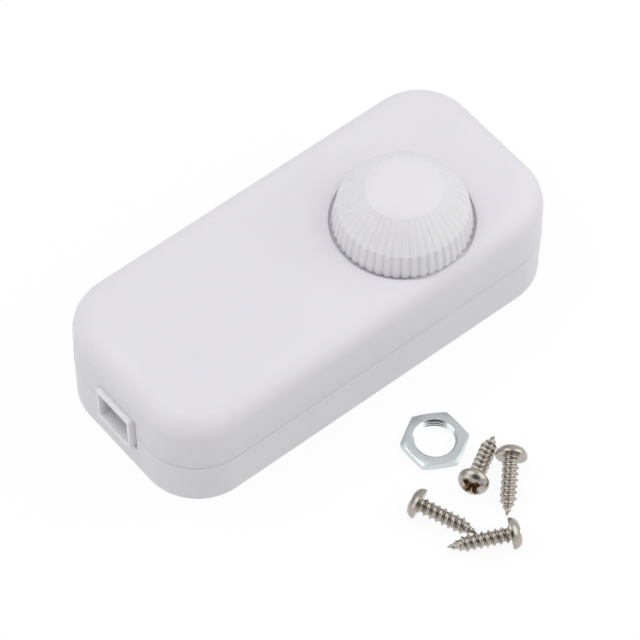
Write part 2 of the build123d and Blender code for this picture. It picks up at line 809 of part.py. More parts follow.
# Switch contacts: a pin with a long strip past the rotor, and a pin with a short post
contact_y = knob_y + contact_offset
with BuildPart() as switch_contacts:
    with BuildSketch(Plane.XY.offset(terminal_foot_z)):
        with Locations(switch_pins):
            Rectangle(terminal_width, terminal_thickness)
    extrude(amount=rotor_bottom_z + rotor_thickness - terminal_foot_z)
    with BuildSketch(Plane.XY.offset(rotor_bottom_z)):
        with Locations((switch_pins[0][0] + contact_length / 2,
                        contact_y - terminal_thickness / 2 + contact_strip / 2)):
            Rectangle(contact_length, contact_strip)
    extrude(amount=rotor_thickness)
save(switch_contacts.part, "switch_contacts")

# Knob: a hollow turned form with flutes down its band that run up over its shoulder
shoulder_slope = degrees(atan2(knob_shoulder_rise, band_top_radius - knob_shoulder_radius))
shoulder_length = sqrt(knob_shoulder_rise ** 2 + (band_top_radius - knob_shoulder_radius) ** 2)
band_slope = degrees(atan2(knob_band_taper, knob_band_height))
flute_place = knob_radius + flute_radius - flute_depth
cap_radius = (knob_shoulder_radius ** 2 + knob_cap_rise ** 2) / (2 * knob_cap_rise)
cap_mid = (knob_shoulder_radius / 2,
           knob_top_z - cap_radius + sqrt(cap_radius ** 2 - knob_shoulder_radius ** 2 / 4))
knob_plane = Plane((knob_x, knob_y, 0), x_dir=(1, 0, 0), z_dir=(0, -1, 0))
knob_z_axis = Axis((knob_x, knob_y, 0), (0, 0, 1))
with BuildPart() as knob:
    with BuildSketch(knob_plane):
        with BuildLine():
            Line((0, knob_bottom_z), (knob_radius, knob_bottom_z))
            Line((knob_radius, knob_bottom_z), (band_top_radius, band_top_z))
            Line((band_top_radius, band_top_z), (knob_shoulder_radius, shoulder_z))
            ThreePointArc((knob_shoulder_radius, shoulder_z), cap_mid, (0, knob_top_z))
            Line((0, knob_top_z), (0, knob_bottom_z))
        make_face()
    revolve(axis=knob_z_axis)
    with Locations((knob_x, knob_y, knob_bottom_z)):
        with PolarLocations(0, flute_count, start_angle=180 / flute_count):
            with Locations(Pos(flute_place, 0, -1) * Rot(0, -band_slope, 0)):
                Cylinder(flute_radius, knob_band_height + flute_overrun,
                         align=(Align.CENTER, Align.CENTER, Align.MIN), mode=Mode.SUBTRACT)
    with Locations((knob_x, knob_y, band_top_z)):
        with PolarLocations(0, flute_count, start_angle=180 / flute_count):
            with Locations(Pos(band_top_radius, 0, 0) * Rot(0, shoulder_slope - 90, 0) * Pos(0, 0, -2)):
                Cone(rib_depth, rib_end_depth, shoulder_length + rib_overrun,
                     align=(Align.CENTER, Align.CENTER, Align.MIN), mode=Mode.SUBTRACT)
    with BuildSketch(knob_plane):
        with BuildLine():
            Polyline(
                (0, knob_bottom_z - 1),
                (knob_radius - knob_wall, knob_bottom_z - 1),
                (band_top_radius - knob_wall, band_top_z - knob_wall / 3),
                (hub_radius + knob_wall, shoulder_z - knob_wall),
                (0, shoulder_z - knob_wall),
                close=True,
            )
        make_face()
    revolve(axis=knob_z_axis, mode=Mode.SUBTRACT)
    with BuildSketch(Plane.XY.offset(hub_bottom_z)):
        with Locations(knob_axis):
            Circle(hub_radius)
    extrude(amount=shoulder_z - hub_bottom_z)
    with BuildSketch(Plane.XY.offset(hub_bottom_z)):
        with Locations(knob_axis):
            Circle(shaft_radius + seat_clearance)
        with Locations((knob_x, knob_y + shaft_radius - shaft_flat / 2 + seat_clearance)):
            Rectangle(2 * shaft_radius + 1, shaft_flat, mode=Mode.SUBTRACT)
    extrude(amount=shaft_top_z + turning_gap - hub_bottom_z, mode=Mode.SUBTRACT)
save(knob.part, "knob")

# Where leads pass through the board
resistor_places = [(resistor_x, y) for y in resistor_ys]
triac_feet = [(triac_lead_x, sink_y + k * triac_lead_pitch) for k in (-1, 0, 1)]
choke_foot_radius = (core_outer + core_inner) / 2
choke_feet = [
    (choke_place[0] + choke_foot_radius * cos(radians(choke_foot_angle)),
     choke_place[1] + k * choke_foot_radius * sin(radians(choke_foot_angle)))
    for k in (-1, 1)
]
clip_offset = fuse_length / 2 - fuse_cap_length / 2
clip_feet = [(fuse_x - clip_offset, fuse_y), (fuse_x + clip_offset, fuse_y)]
input_block = (board_left + block_depth / 2, 0)
output_block = (board_right - block_depth / 2, output_block_y)
poles = [(x, y + k * pole_spacing / 2) for x, y in (input_block, output_block) for k in (-1, 1)]
lead_places = pair(film_place, film_pitch) + pair(timing_place, timing_pitch)
lead_places += pair(diac_place, diac_span) + choke_feet + clip_feet + poles
for place in resistor_places:
    lead_places += pair(place, resistor_span)

# Circuit board
board_length = board_right - board_left
board_x = (board_left + board_right) / 2
with BuildPart() as circuit_board:
    with BuildSketch(Plane.XY.offset(board_bottom)):
        with Locations((board_x, 0)):
            RectangleRounded(board_length, board_width, board_corner)
        with Locations(board_posts):
            Circle(board_screw_radius + hole_clearance, mode=Mode.SUBTRACT)
        with Locations([(x, terminal_y) for x in terminal_xs] + switch_pins):
            Rectangle(terminal_width + 2 * hole_clearance, terminal_thickness + 2 * hole_clearance,
                      mode=Mode.SUBTRACT)
        with Locations(lead_places):
            Circle(lead_radius + hole_clearance, mode=Mode.SUBTRACT)
        with Locations(triac_feet):
            Circle(triac_lead_side / 2 + 2 * hole_clearance, mode=Mode.SUBTRACT)
        with Locations((sink_screw_x, sink_y)):
            Circle(sink_screw_radius + hole_clearance, mode=Mode.SUBTRACT)
    extrude(amount=board_thickness)
save(circuit_board.part, "circuit_board")

with BuildPart() as board_screws:
    with BuildSketch(Plane.XY.offset(board_top_z)):
        with Locations(board_posts):
            Circle(board_screw_head)
    extrude(amount=board_screw_head_height)
    with BuildSketch(Plane.XY.offset(board_top_z - board_screw_length)):
        with Locations(board_posts):
            Circle(board_screw_radius - seat_clearance)
    extrude(amount=board_screw_length)
    with BuildSketch(Plane.XY.offset(board_top_z + board_screw_head_height / 2)):
        with Locations(board_posts):
            Rectangle(board_recess_span, board_recess_width)
            Rectangle(board_recess_width, board_recess_span)
    extrude(amount=board_screw_head_height, mode=Mode.SUBTRACT)
save(board_screws.part, "board_screws")

# Terminal blocks, their cages and their screws. Each wire enters from the nearer end.
cage_z = board_top_z + cage_bottom
for name, side, place in (
    ("input_terminal_block", -1, input_block),
    ("output_terminal_block", 1, output_block),
):
    with BuildPart() as terminal_block:
        with BuildSketch(Plane.XY.offset(board_top_z)):
            with Locations(place):
                Rectangle(block_depth, block_width)
        extrude(amount=block_height)
        long_edges = terminal_block.faces().sort_by(Axis.Z)[-1].edges().filter_by(Axis.Y)
        chamfer(long_edges, length=block_chamfer)
        with BuildSketch(Plane.XY.offset(cage_z)):
            with Locations((place[0] + side * block_back_wall, place[1])):
                with GridLocations(0, pole_spacing, 1, 2):
                    Rectangle(block_depth, cage_side + 2 * hole_clearance)
        extrude(amount=cage_side + hole_clearance, mode=Mode.SUBTRACT)
        with BuildSketch(Plane.XY.offset(cage_z)):
            with Locations(place):
                with GridLocations(0, pole_spacing, 1, 2):
                    Circle(block_screw_radius + hole_clearance)
        extrude(amount=block_height, mode=Mode.SUBTRACT)
        with BuildSketch(Plane.XY.offset(board_top_z)):
            with Locations(place):
                with GridLocations(0, pole_spacing, 1, 2):
                    Circle(lead_radius + hole_clearance)
        extrude(amount=cage_bottom, mode=Mode.SUBTRACT)
    save(terminal_block.part, name)

with BuildPart() as terminal_cages:
    with BuildSketch(Plane.XY.offset(cage_z)):
        with Locations(poles):
            Rectangle(cage_side + 1, cage_side)
    extrude(amount=cage_side)
    with BuildSketch(Plane.XY.offset(cage_z + cage_wall)):
        with Locations(poles):
            Rectangle(cage_side + 1, cage_side - 2 * cage_wall)
    extrude(amount=cage_side - 2 * cage_wall, mode=Mode.SUBTRACT)
    with BuildSketch(Plane.XY.offset(cage_z + 2 * cage_wall)):
        with Locations(poles):
            Circle(block_screw_radius)
    extrude(amount=cage_side, mode=Mode.SUBTRACT)
    with BuildSketch(Plane.XY.offset(board_bottom - lead_below)):
        with Locations(poles):
            Circle(lead_radius)
    extrude(amount=cage_z + cage_wall - board_bottom + lead_below)
save(terminal_cages.part, "terminal_cages")

block_screw_z = cage_z + 2 * cage_wall
with BuildPart() as terminal_screws:
    with BuildSketch(Plane.XY.offset(block_screw_z)):
        with Locations(poles):
            Circle(block_screw_radius - running_clearance)
    extrude(amount=block_screw_length)
    with BuildSketch(Plane.XY.offset(block_screw_z + block_screw_length - block_screw_slot)):
        with Locations(poles):
            Rectangle(4 * block_screw_radius, block_screw_slot)
    extrude(amount=block_screw_slot, mode=Mode.SUBTRACT)
save(terminal_screws.part, "terminal_screws")

# Fuse: a glass tube with two caps, held in two clips
fuse_z = board_top_z + fuse_height
fuse_plane = Plane((fuse_x, fuse_y, fuse_z), x_dir=(0, 1, 0), z_dir=(1, 0, 0))
with BuildPart() as fuse_tube:
    with BuildSketch(fuse_plane.offset(-fuse_length / 2 + fuse_cap_wall)):
        Circle(fuse_radius - fuse_cap_wall)
        Circle(fuse_radius - fuse_cap_wall - fuse_glass, mode=Mode.SUBTRACT)
    extrude(amount=fuse_length - 2 * fuse_cap_wall)
save(fuse_tube.part, "fuse_tube")

with BuildPart() as fuse_caps:
    for side in (-1, 1):
        with BuildSketch(fuse_plane.offset(side * fuse_length / 2)):
            Circle(fuse_radius)
        extrude(amount=-side * fuse_cap_length)
        with BuildSketch(fuse_plane.offset(side * (fuse_length / 2 - fuse_cap_wall))):
            Circle(fuse_radius - fuse_cap_wall)
        extrude(amount=-side * fuse_cap_length, mode=Mode.SUBTRACT)
save(fuse_caps.part, "fuse_caps")

with BuildPart() as fuse_wire:
    with BuildSketch(fuse_plane.offset(-fuse_length / 2 + fuse_cap_wall)):
        Circle(fuse_wire_radius)
    extrude(amount=fuse_length - 2 * fuse_cap_wall)
save(fuse_wire.part, "fuse_wire")

with BuildPart() as fuse_clips:
    for side in (-1, 1):
        clip_start = side * clip_offset - fuse_clip_length / 2
        with BuildSketch(fuse_plane.offset(clip_start)):
            with Locations((0, -fuse_height / 2)):
                Rectangle(2 * (fuse_radius + clip_arm), fuse_height)
            Circle(fuse_radius + clip_arm)
            with Locations((0, fuse_radius)):
                Rectangle(fuse_clip_mouth, 2 * fuse_radius, mode=Mode.SUBTRACT)
            Circle(fuse_radius, mode=Mode.SUBTRACT)
        extrude(amount=fuse_clip_length)
    with BuildSketch(Plane.XY.offset(board_bottom - lead_below)):
        with Locations(clip_feet):
            Circle(lead_radius)
    extrude(amount=board_thickness + lead_below + clip_arm)
save(fuse_clips.part, "fuse_clips")

# Two box capacitors with their leads
for name, place, size, pitch in (
    ("film_capacitor", film_place, film_size, film_pitch),
    ("timing_capacitor", timing_place, timing_size, timing_pitch),
):
    with BuildPart() as capacitor:
        with BuildSketch(Plane.XY.offset(board_top_z)):
            with Locations(place):
                Rectangle(size[0], size[1])
        extrude(amount=size[2])
        fillet(capacitor.edges().filter_by(Axis.Z), radius=capacitor_edge)
        fillet(capacitor.faces().sort_by(Axis.Z)[-1].edges(), radius=capacitor_edge / 2)
        with BuildSketch(Plane.XY.offset(board_bottom - lead_below)):
            with Locations(pair(place, pitch)):
                Circle(lead_radius)
        extrude(amount=board_thickness + lead_below)
    save(capacitor.part, name)

# Parts with axial leads: a body lying over the board, its leads bent down through it
for name, places, radius, length, span in (
    ("resistors", resistor_places, resistor_radius, resistor_length, resistor_span),
    ("diac", [diac_place], diac_radius, diac_length, diac_span),
):
    body_z = board_top_z + radius + axial_gap
    with BuildPart() as axial_part:
        for x, y in places:
            body_plane = Plane((x, y, body_z), x_dir=(0, 1, 0), z_dir=(1, 0, 0))
            with BuildSketch(body_plane.offset(-length / 2)):
                Circle(radius)
            extrude(amount=length)
            with BuildSketch(body_plane.offset(-span / 2)):
                Circle(lead_radius)
            extrude(amount=span)
        with BuildSketch(Plane.XY.offset(board_bottom - lead_below)):
            for place in places:
                with Locations(pair(place, span)):
                    Circle(lead_radius)
        extrude(amount=body_z - board_bottom + lead_below)
    save(axial_part.part, name)

# Choke: a ring core lying flat, with a winding over most of it
core_z = board_top_z + winding_clearance + winding_thickness
with BuildPart() as choke_core:
    with BuildSketch(Plane.XY.offset(core_z)):
        with Locations(choke_place):
            Circle(core_outer)
            Circle(core_inner, mode=Mode.SUBTRACT)
    extrude(amount=core_height)
    fillet(choke_core.edges().filter_by(GeomType.CIRCLE), radius=core_edge)
save(choke_core.part, "choke_core")

winding_face_width = core_outer - core_inner + 2 * winding_clearance
winding_face_height = core_height + 2 * winding_clearance
winding_start = 180 - winding_sweep / 2
choke_axis = Axis((choke_place[0], choke_place[1], 0), (0, 0, 1))
winding_plane = Plane((choke_place[0], choke_place[1], 0),
                      x_dir=(cos(radians(winding_start)), sin(radians(winding_start)), 0),
                      z_dir=(sin(radians(winding_start)), -cos(radians(winding_start)), 0))
with BuildPart() as choke_winding:
    with BuildSketch(winding_plane):
        with Locations(((core_outer + core_inner) / 2, core_z + core_height / 2)):
            RectangleRounded(winding_face_width + 2 * winding_thickness,
                             winding_face_height + 2 * winding_thickness, winding_thickness)
            Rectangle(winding_face_width, winding_face_height, mode=Mode.SUBTRACT)
    revolve(axis=choke_axis, revolution_arc=winding_sweep)
    with BuildSketch(Plane.XY.offset(board_bottom - lead_below)):
        with Locations(choke_feet):
            Circle(lead_radius)
    extrude(amount=board_thickness + lead_below + winding_thickness / 2)
save(choke_winding.part, "choke_winding")

# Heat sink: a channel that stands on the board, with the triac's tab screwed down in it
sink_top_z = board_top_z + sink_base
sink_x = (sink_left + sink_right) / 2
with BuildPart() as heat_sink:
    with BuildSketch(Plane.XY.offset(board_top_z)):
        with Locations((sink_x, sink_y)):
            Rectangle(sink_right - sink_left, sink_width)
    extrude(amount=sink_height)
    with BuildSketch(Plane.XY.offset(sink_top_z)):
        with Locations((sink_x, sink_y)):
            Rectangle(sink_right - sink_left, sink_width - 2 * sink_fin)
    extrude(amount=sink_height, mode=Mode.SUBTRACT)
    with BuildSketch(Plane.XY.offset(board_top_z)):
        with Locations((sink_screw_x, sink_y)):
            Circle(sink_screw_radius + hole_clearance)
    extrude(amount=sink_base, mode=Mode.SUBTRACT)
save(heat_sink.part, "heat_sink")

with BuildPart() as triac_tab:
    with BuildSketch(Plane.XY.offset(sink_top_z)):
        with Locations((triac_left + triac_tab_length / 2, sink_y)):
            Rectangle(triac_tab_length, triac_width)
        with Locations((sink_screw_x, sink_y)):
            Circle(triac_hole_radius, mode=Mode.SUBTRACT)
    extrude(amount=triac_tab_thickness)
save(triac_tab.part, "triac_tab")

triac_tab_top_z = sink_top_z + triac_tab_thickness
with BuildPart() as triac_body:
    with BuildSketch(Plane.XY.offset(triac_tab_top_z)):
        with Locations((triac_left + triac_body_length / 2, sink_y)):
            Rectangle(triac_body_length, triac_width)
    extrude(amount=triac_body_height)
    chamfer(triac_body.faces().sort_by(Axis.Z)[-1].edges(), length=triac_body_edge)
save(triac_body.part, "triac_body")

# Leads of the triac: out of its body's end, then down through the board
triac_lead_z = triac_tab_top_z + triac_lead_rise
with BuildPart() as triac_leads:
    with BuildSketch(Plane.XY.offset(triac_lead_z)):
        for x, y in triac_feet:
            with Locations(((x - triac_lead_side / 2 + triac_left) / 2, y)):
                Rectangle(triac_left - x + triac_lead_side / 2, triac_lead_side)
    extrude(amount=triac_lead_side)
    with BuildSketch(Plane.XY.offset(board_bottom - lead_below)):
        with Locations(triac_feet):
            Rectangle(triac_lead_side, triac_lead_side)
    extrude(amount=triac_lead_z + triac_lead_side - board_bottom + lead_below)
save(triac_leads.part, "triac_leads")

with BuildPart() as heat_sink_screw:
    with BuildSketch(Plane.XY.offset(triac_tab_top_z)):
        with Locations((sink_screw_x, sink_y)):
            Circle(sink_screw_head)
    extrude(amount=sink_screw_head_height)
    fillet(heat_sink_screw.faces().sort_by(Axis.Z)[-1].edges(), radius=sink_screw_edge)
    with BuildSketch(Plane.XY.offset(triac_tab_top_z - sink_screw_length)):
        with Locations((sink_screw_x, sink_y)):
            Circle(sink_screw_radius)
    extrude(amount=sink_screw_length)
    with BuildSketch(Plane.XY.offset(triac_tab_top_z + sink_screw_head_height / 2)):
        with Locations((sink_screw_x, sink_y)):
            Rectangle(recess_span, recess_width)
            Rectangle(recess_width, recess_span)
    extrude(amount=sink_screw_head_height, mode=Mode.SUBTRACT)
save(heat_sink_screw.part, "heat_sink_screw")

with BuildPart() as heat_sink_nut:
    with BuildSketch(Plane.XY.offset(board_bottom - sink_nut_thickness)):
        with Locations((sink_screw_x, sink_y)):
            RegularPolygon(radius=sink_nut_flats / sqrt(3), side_count=6)
            Circle(sink_screw_radius + seat_clearance, mode=Mode.SUBTRACT)
    extrude(amount=sink_nut_thickness)
save(heat_sink_nut.part, "heat_sink_nut")
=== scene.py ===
from math import asin, atan2, cos, hypot, pi, radians, sin, sqrt, tan

import bmesh
import bpy
from mathutils import Matrix, Vector


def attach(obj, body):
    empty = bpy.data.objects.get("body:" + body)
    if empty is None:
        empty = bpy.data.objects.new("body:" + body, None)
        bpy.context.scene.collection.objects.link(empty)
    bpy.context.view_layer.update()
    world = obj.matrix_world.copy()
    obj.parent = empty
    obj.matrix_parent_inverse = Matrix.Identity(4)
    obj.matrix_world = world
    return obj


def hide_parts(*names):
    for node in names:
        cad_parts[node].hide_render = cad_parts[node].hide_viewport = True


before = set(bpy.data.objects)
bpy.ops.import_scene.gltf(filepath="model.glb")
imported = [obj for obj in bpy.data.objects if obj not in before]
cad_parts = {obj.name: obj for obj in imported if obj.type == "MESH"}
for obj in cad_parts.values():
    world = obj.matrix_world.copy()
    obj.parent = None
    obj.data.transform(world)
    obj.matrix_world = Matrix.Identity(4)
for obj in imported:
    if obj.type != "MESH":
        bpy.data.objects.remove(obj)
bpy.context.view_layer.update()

print("frame loaded:", len(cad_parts), "nodes")

# sizes that several pieces share, in millimetres, as in the part's source
mm = 0.001
case = {
    "length": 100.0,
    "width": 45.4,
    "height": 25.6,
    "corner": 12.6,
    "parting": 11.9,
    "wall": 2.0,
    "collarBottom": 6.9,
    "collarHeight": 9.5,
    "collarWidth": 10.6,
    "collarProud": 1.0,
    "collarFit": 0.1,
    "boss": (40.5, 13.5),     # the four screw bosses lie this far from the middle
    "bossSeam": 8.0,          # the height at which a lower boss meets the upper one
    "headSink": 3.4,          # how deep the case screws' heads sit
}
knobAxis = Vector((19.3, -5.8, 0.0))
bothSides = (-1, 1)
bossPlaces = [(sx * case["boss"][0], sy * case["boss"][1]) for sx in bothSides for sy in bothSides]
into = 0.5                    # how far a form reaches into or past the one it joins or cuts


# camera: a long lens, from the photograph's angle; its place is in millimetres
camera = {
    "azimuth": -39.68,
    "elevation": 54.78,
    "roll": 0.61,
    "distance": 830.06,
    "target": (1.971, -0.810, 0.0),
    "lens": {"lens": 225.0, "sensor_width": 36.0, "clip_start": 0.01, "clip_end": 10.0},
}


def newObject(name, data):
    obj = bpy.data.objects.new(name, data)
    bpy.context.scene.collection.objects.link(obj)
    return obj


def meshObject(bm, name):
    mesh = bpy.data.meshes.new(name)
    bm.to_mesh(mesh)
    bm.free()
    return newObject(name, mesh)


def addCamera():
    az, el, roll = (radians(camera[k]) for k in ("azimuth", "elevation", "roll"))
    back = Vector((sin(az) * cos(el), -cos(az) * cos(el), sin(el)))
    right = (-back).cross(Vector((0, 0, 1))).normalized()
    up = right.cross(-back)
    sideways = cos(roll) * right + sin(roll) * up
    upward = -sin(roll) * right + cos(roll) * up
    data = bpy.data.cameras.new("camera")
    for label, value in camera["lens"].items():
        setattr(data, label, value)
    obj = newObject("camera", data)
    place = (Vector(camera["target"]) + back * camera["distance"]) * mm
    turn = Matrix((sideways, upward, back)).transposed()
    obj.matrix_world = Matrix.Translation(place) @ turn.to_4x4()
    bpy.context.scene.camera = obj


addCamera()
bpy.context.scene.view_settings.view_transform = "Standard"
print("camera set")


# nodes for the studio and the materials
def addNode(tree, kind, inputs=None, **settings):
    node = tree.nodes.new("ShaderNode" + kind)
    for label, value in settings.items():
        setattr(node, label, value)
    for label, value in (inputs or {}).items():
        node.inputs[label].default_value = value
    return node


def linkNodes(tree, pairs):
    for source, target in pairs:
        tree.links.new(source, target)


def feed(tree, socket, value):
    # a number goes on the socket itself, another node's output is linked to it
    if isinstance(value, (int, float)):
        socket.default_value = value
    else:
        tree.links.new(value, socket)


def addMath(tree, operation, first, second):
    node = addNode(tree, "Math", operation=operation)
    feed(tree, node.inputs[0], first)
    feed(tree, node.inputs[1], second)
    return node.outputs[0]


def addRange(tree, value, source, target, interpolation="LINEAR"):
    # brings a value from one range into another
    node = addNode(tree, "MapRange", interpolation_type=interpolation)
    tree.links.new(value, node.inputs["Value"])
    for label, limit in zip(("From Min", "From Max", "To Min", "To Max"), (*source, *target)):
        feed(tree, node.inputs[label], limit)
    return node.outputs[0]


# floor, backdrop and light, in metres and watts
studio = {
    "floorSize": 6.0,
    "floorDrop": 0.00003,     # keeps the floor off the object's own underside
    "floorGlow": 0.91,        # how much of the white floor shines by itself, where it is seen
    "floorBounce": 0.42,      # the floor's own colour for the light that it throws back
    "floorLift": 0.28,        # what it adds evenly, also close to the object
    "skyRange": (-0.1, 0.9),
    "skyLight": (0.48, 0.80),
    "cardPlace": (-0.37, -0.44, 0.82),   # the dark of the room behind the camera, for reflections
    "cardRange": (0.80, 0.97),
    "cardLight": (0.80, 0.08),
    "lampAim": (0.0, 0.0, 0.01),
    "lamps": {
        "softbox": {"power": 2.17, "place": (-0.35, 0.42, 0.95), "size": 0.9},
        "endFill": {"power": 0.73, "place": (-0.9, 0.2, 0.38), "size": 0.7},
        "sideFill": {"power": 0.40, "place": (0.25, -0.21, 0.26), "size": 0.40},
    },
}
white = (1.0, 1.0, 1.0, 1.0)


def addFloor():
    bm = bmesh.new()
    bmesh.ops.create_grid(bm, x_segments=1, y_segments=1, size=studio["floorSize"] / 2)
    bmesh.ops.translate(bm, verts=bm.verts, vec=(0, 0, -studio["floorDrop"]))
    floor = meshObject(bm, "floor")
    material = bpy.data.materials.new("studioFloor")
    material.use_nodes = True
    tree = material.node_tree
    tree.nodes.clear()
    out = addNode(tree, "OutputMaterial")
    path = addNode(tree, "LightPath").outputs
    # as the camera, metal and glass see it: white, with the object's shadow
    lit = addNode(tree, "BsdfDiffuse", {"Color": white})
    glow = addNode(tree, "Emission", {"Color": white})
    shown = addNode(tree, "MixShader", {"Fac": studio["floorGlow"]})
    # as it lights the object
    bounce = studio["floorBounce"]
    thrown = addNode(tree, "BsdfDiffuse", {"Color": (bounce, bounce, bounce, 1)})
    lift = addNode(tree, "Emission", {"Strength": studio["floorLift"]})
    plain = addNode(tree, "AddShader")
    pick = addNode(tree, "MixShader")
    seen = addMath(tree, "MAXIMUM", path["Is Camera Ray"], path["Is Glossy Ray"])
    seen = addMath(tree, "MAXIMUM", seen, path["Is Transmission Ray"])
    linkNodes(tree, [
        (lit.outputs[0], shown.inputs[1]),
        (glow.outputs[0], shown.inputs[2]),
        (thrown.outputs[0], plain.inputs[0]),
        (lift.outputs[0], plain.inputs[1]),
        (seen, pick.inputs["Fac"]),
        (plain.outputs[0], pick.inputs[1]),
        (shown.outputs[0], pick.inputs[2]),
        (pick.outputs[0], out.inputs["Surface"]),
    ])
    floor.data.materials.append(material)


def addWorld():
    world = bpy.data.worlds.new("studio")
    bpy.context.scene.world = world
    world.use_nodes = True
    tree = world.node_tree
    tree.nodes.clear()
    out = addNode(tree, "OutputWorld")
    path = addNode(tree, "LightPath").outputs
    direction = addNode(tree, "TexCoord").outputs["Generated"]
    parts = addNode(tree, "SeparateXYZ")
    card = Vector(studio["cardPlace"]).normalized()
    toward = addNode(tree, "VectorMath", {1: card}, operation="DOT_PRODUCT")
    linkNodes(tree, [(direction, parts.inputs[0]), (direction, toward.inputs[0])])
    skyLight = addRange(tree, parts.outputs["Z"], studio["skyRange"], studio["skyLight"])
    cardLight = addRange(
        tree, toward.outputs["Value"], studio["cardRange"], studio["cardLight"], "SMOOTHSTEP",
    )
    sky, mirrored, backdrop = (addNode(tree, "Background", {"Color": white}) for _ in range(3))
    thrown, pick = (addNode(tree, "MixShader") for _ in range(2))
    seen = addMath(tree, "MAXIMUM", path["Is Camera Ray"], path["Is Transmission Ray"])
    linkNodes(tree, [
        (skyLight, sky.inputs["Strength"]),
        (cardLight, mirrored.inputs["Strength"]),
        (path["Is Glossy Ray"], thrown.inputs["Fac"]),
        (sky.outputs[0], thrown.inputs[1]),
        (mirrored.outputs[0], thrown.inputs[2]),
        (seen, pick.inputs["Fac"]),
        (thrown.outputs[0], pick.inputs[1]),
        (backdrop.outputs[0], pick.inputs[2]),
        (pick.outputs[0], out.inputs["Surface"]),
    ])


def addLamp(name, power, place, size):
    data = bpy.data.lights.new(name, "AREA")
    data.energy = power
    data.shape = "DISK"
    data.size = size
    obj = newObject(name, data)
    back = (Vector(place) - Vector(studio["lampAim"])).normalized()
    turn = back.to_track_quat("Z", "Y").to_matrix().to_4x4()
    obj.matrix_world = Matrix.Translation(place) @ turn
    obj.visible_camera = False


addFloor()
addWorld()
for name, lamp in studio["lamps"].items():
    addLamp(name, **lamp)
print("studio set")


# the surface of a moulded or machined part: a fine grain, a slow mottling of the colour and
# an uneven roughness, as a node group that every material uses
surface = {
    "noiseMiddle": (0.3, 0.7),    # the part of a noise's range that is used
    "mottleDetail": 3.0,
    "roughDetail": 4.0,
    "roughFiner": 3.0,            # how much finer the roughness varies than the colour
    "grainDetail": 3.0,
    "grainDepth": 0.00002,
    "subsurfaceScale": 0.003,
    "subsurfaceRadius": (1.0, 0.9, 0.85),
}


def addNoise(tree, vector, scale, detail):
    node = addNode(tree, "TexNoise", {"Detail": detail})
    linkNodes(tree, [(vector, node.inputs["Vector"]), (scale, node.inputs["Scale"])])
    return node.outputs["Fac"]


def mixColours(tree, factor, first, second):
    # a Mix node has several sockets of each name, so its colour sockets are counted
    node = addNode(tree, "Mix", data_type="RGBA")
    linkNodes(tree, [(factor, node.inputs[0]), (first, node.inputs[6]), (second, node.inputs[7])])
    return node.outputs[2]


def addSockets(group, way, defaults):
    for label, value in defaults.items():
        kind = "NodeSocketColor" if isinstance(value, tuple) else "NodeSocketFloat"
        socket = group.interface.new_socket(label, in_out=way, socket_type=kind)
        socket.default_value = value


def buildSurfaceGroup():
    group = bpy.data.node_groups.new("partSurface", "ShaderNodeTree")
    addSockets(group, "INPUT", {
        "Colour": (0.8, 0.8, 0.8, 1),
        "Second Colour": (0.7, 0.7, 0.7, 1),
        "Mottle Scale": 60.0,
        "Mottle Amount": 0.5,
        "Grain Scale": 4000.0,
        "Roughness Low": 0.4,
        "Roughness High": 0.5,
    })
    addSockets(group, "OUTPUT", {"Colour": white, "Roughness": 0.5, "Grain": 0.5})
    given = group.nodes.new("NodeGroupInput").outputs
    out = group.nodes.new("NodeGroupOutput").inputs
    place = addNode(group, "TexCoord").outputs["Object"]
    middle = surface["noiseMiddle"]
    mottle = addNoise(group, place, given["Mottle Scale"], surface["mottleDetail"])
    shown = addRange(group, mottle, middle, (0.0, 1.0))
    shown = addMath(group, "MULTIPLY", shown, given["Mottle Amount"])
    finer = addMath(group, "MULTIPLY", given["Mottle Scale"], surface["roughFiner"])
    uneven = addNoise(group, place, finer, surface["roughDetail"])
    rough = addRange(group, uneven, middle, (given["Roughness Low"], given["Roughness High"]))
    linkNodes(group, [
        (mixColours(group, shown, given["Colour"], given["Second Colour"]), out["Colour"]),
        (rough, out["Roughness"]),
        (addNoise(group, place, given["Grain Scale"], surface["grainDetail"]), out["Grain"]),
    ])
    return group


surfaceGroup = buildSurfaceGroup()


def linear(colour):
    # a colour written as 0 to 255 screen values, as the shader wants it
    shares = [c / 255 for c in colour]
    made = [s / 12.92 if s <= 0.04045 else ((s + 0.055) / 1.055) ** 2.4 for s in shares]
    return (*made, 1.0)


# what holds for a look that doesn't say otherwise
plainLook = {
    "mottle": 0.5,            # how much of the second colour shows where it is strongest
    "metallic": 0.0,
    "ior": 1.5,
    "transmission": 0.0,
    "subsurface": 0.0,
}


def newLook(colour, second, mottleScale, roughness, grain, grainScale=4000.0, **rest):
    given = {"colour": colour, "second": second, "mottleScale": mottleScale}
    given.update(roughness=roughness, grain=grain, grainScale=grainScale)
    return {**plainLook, **given, **rest}


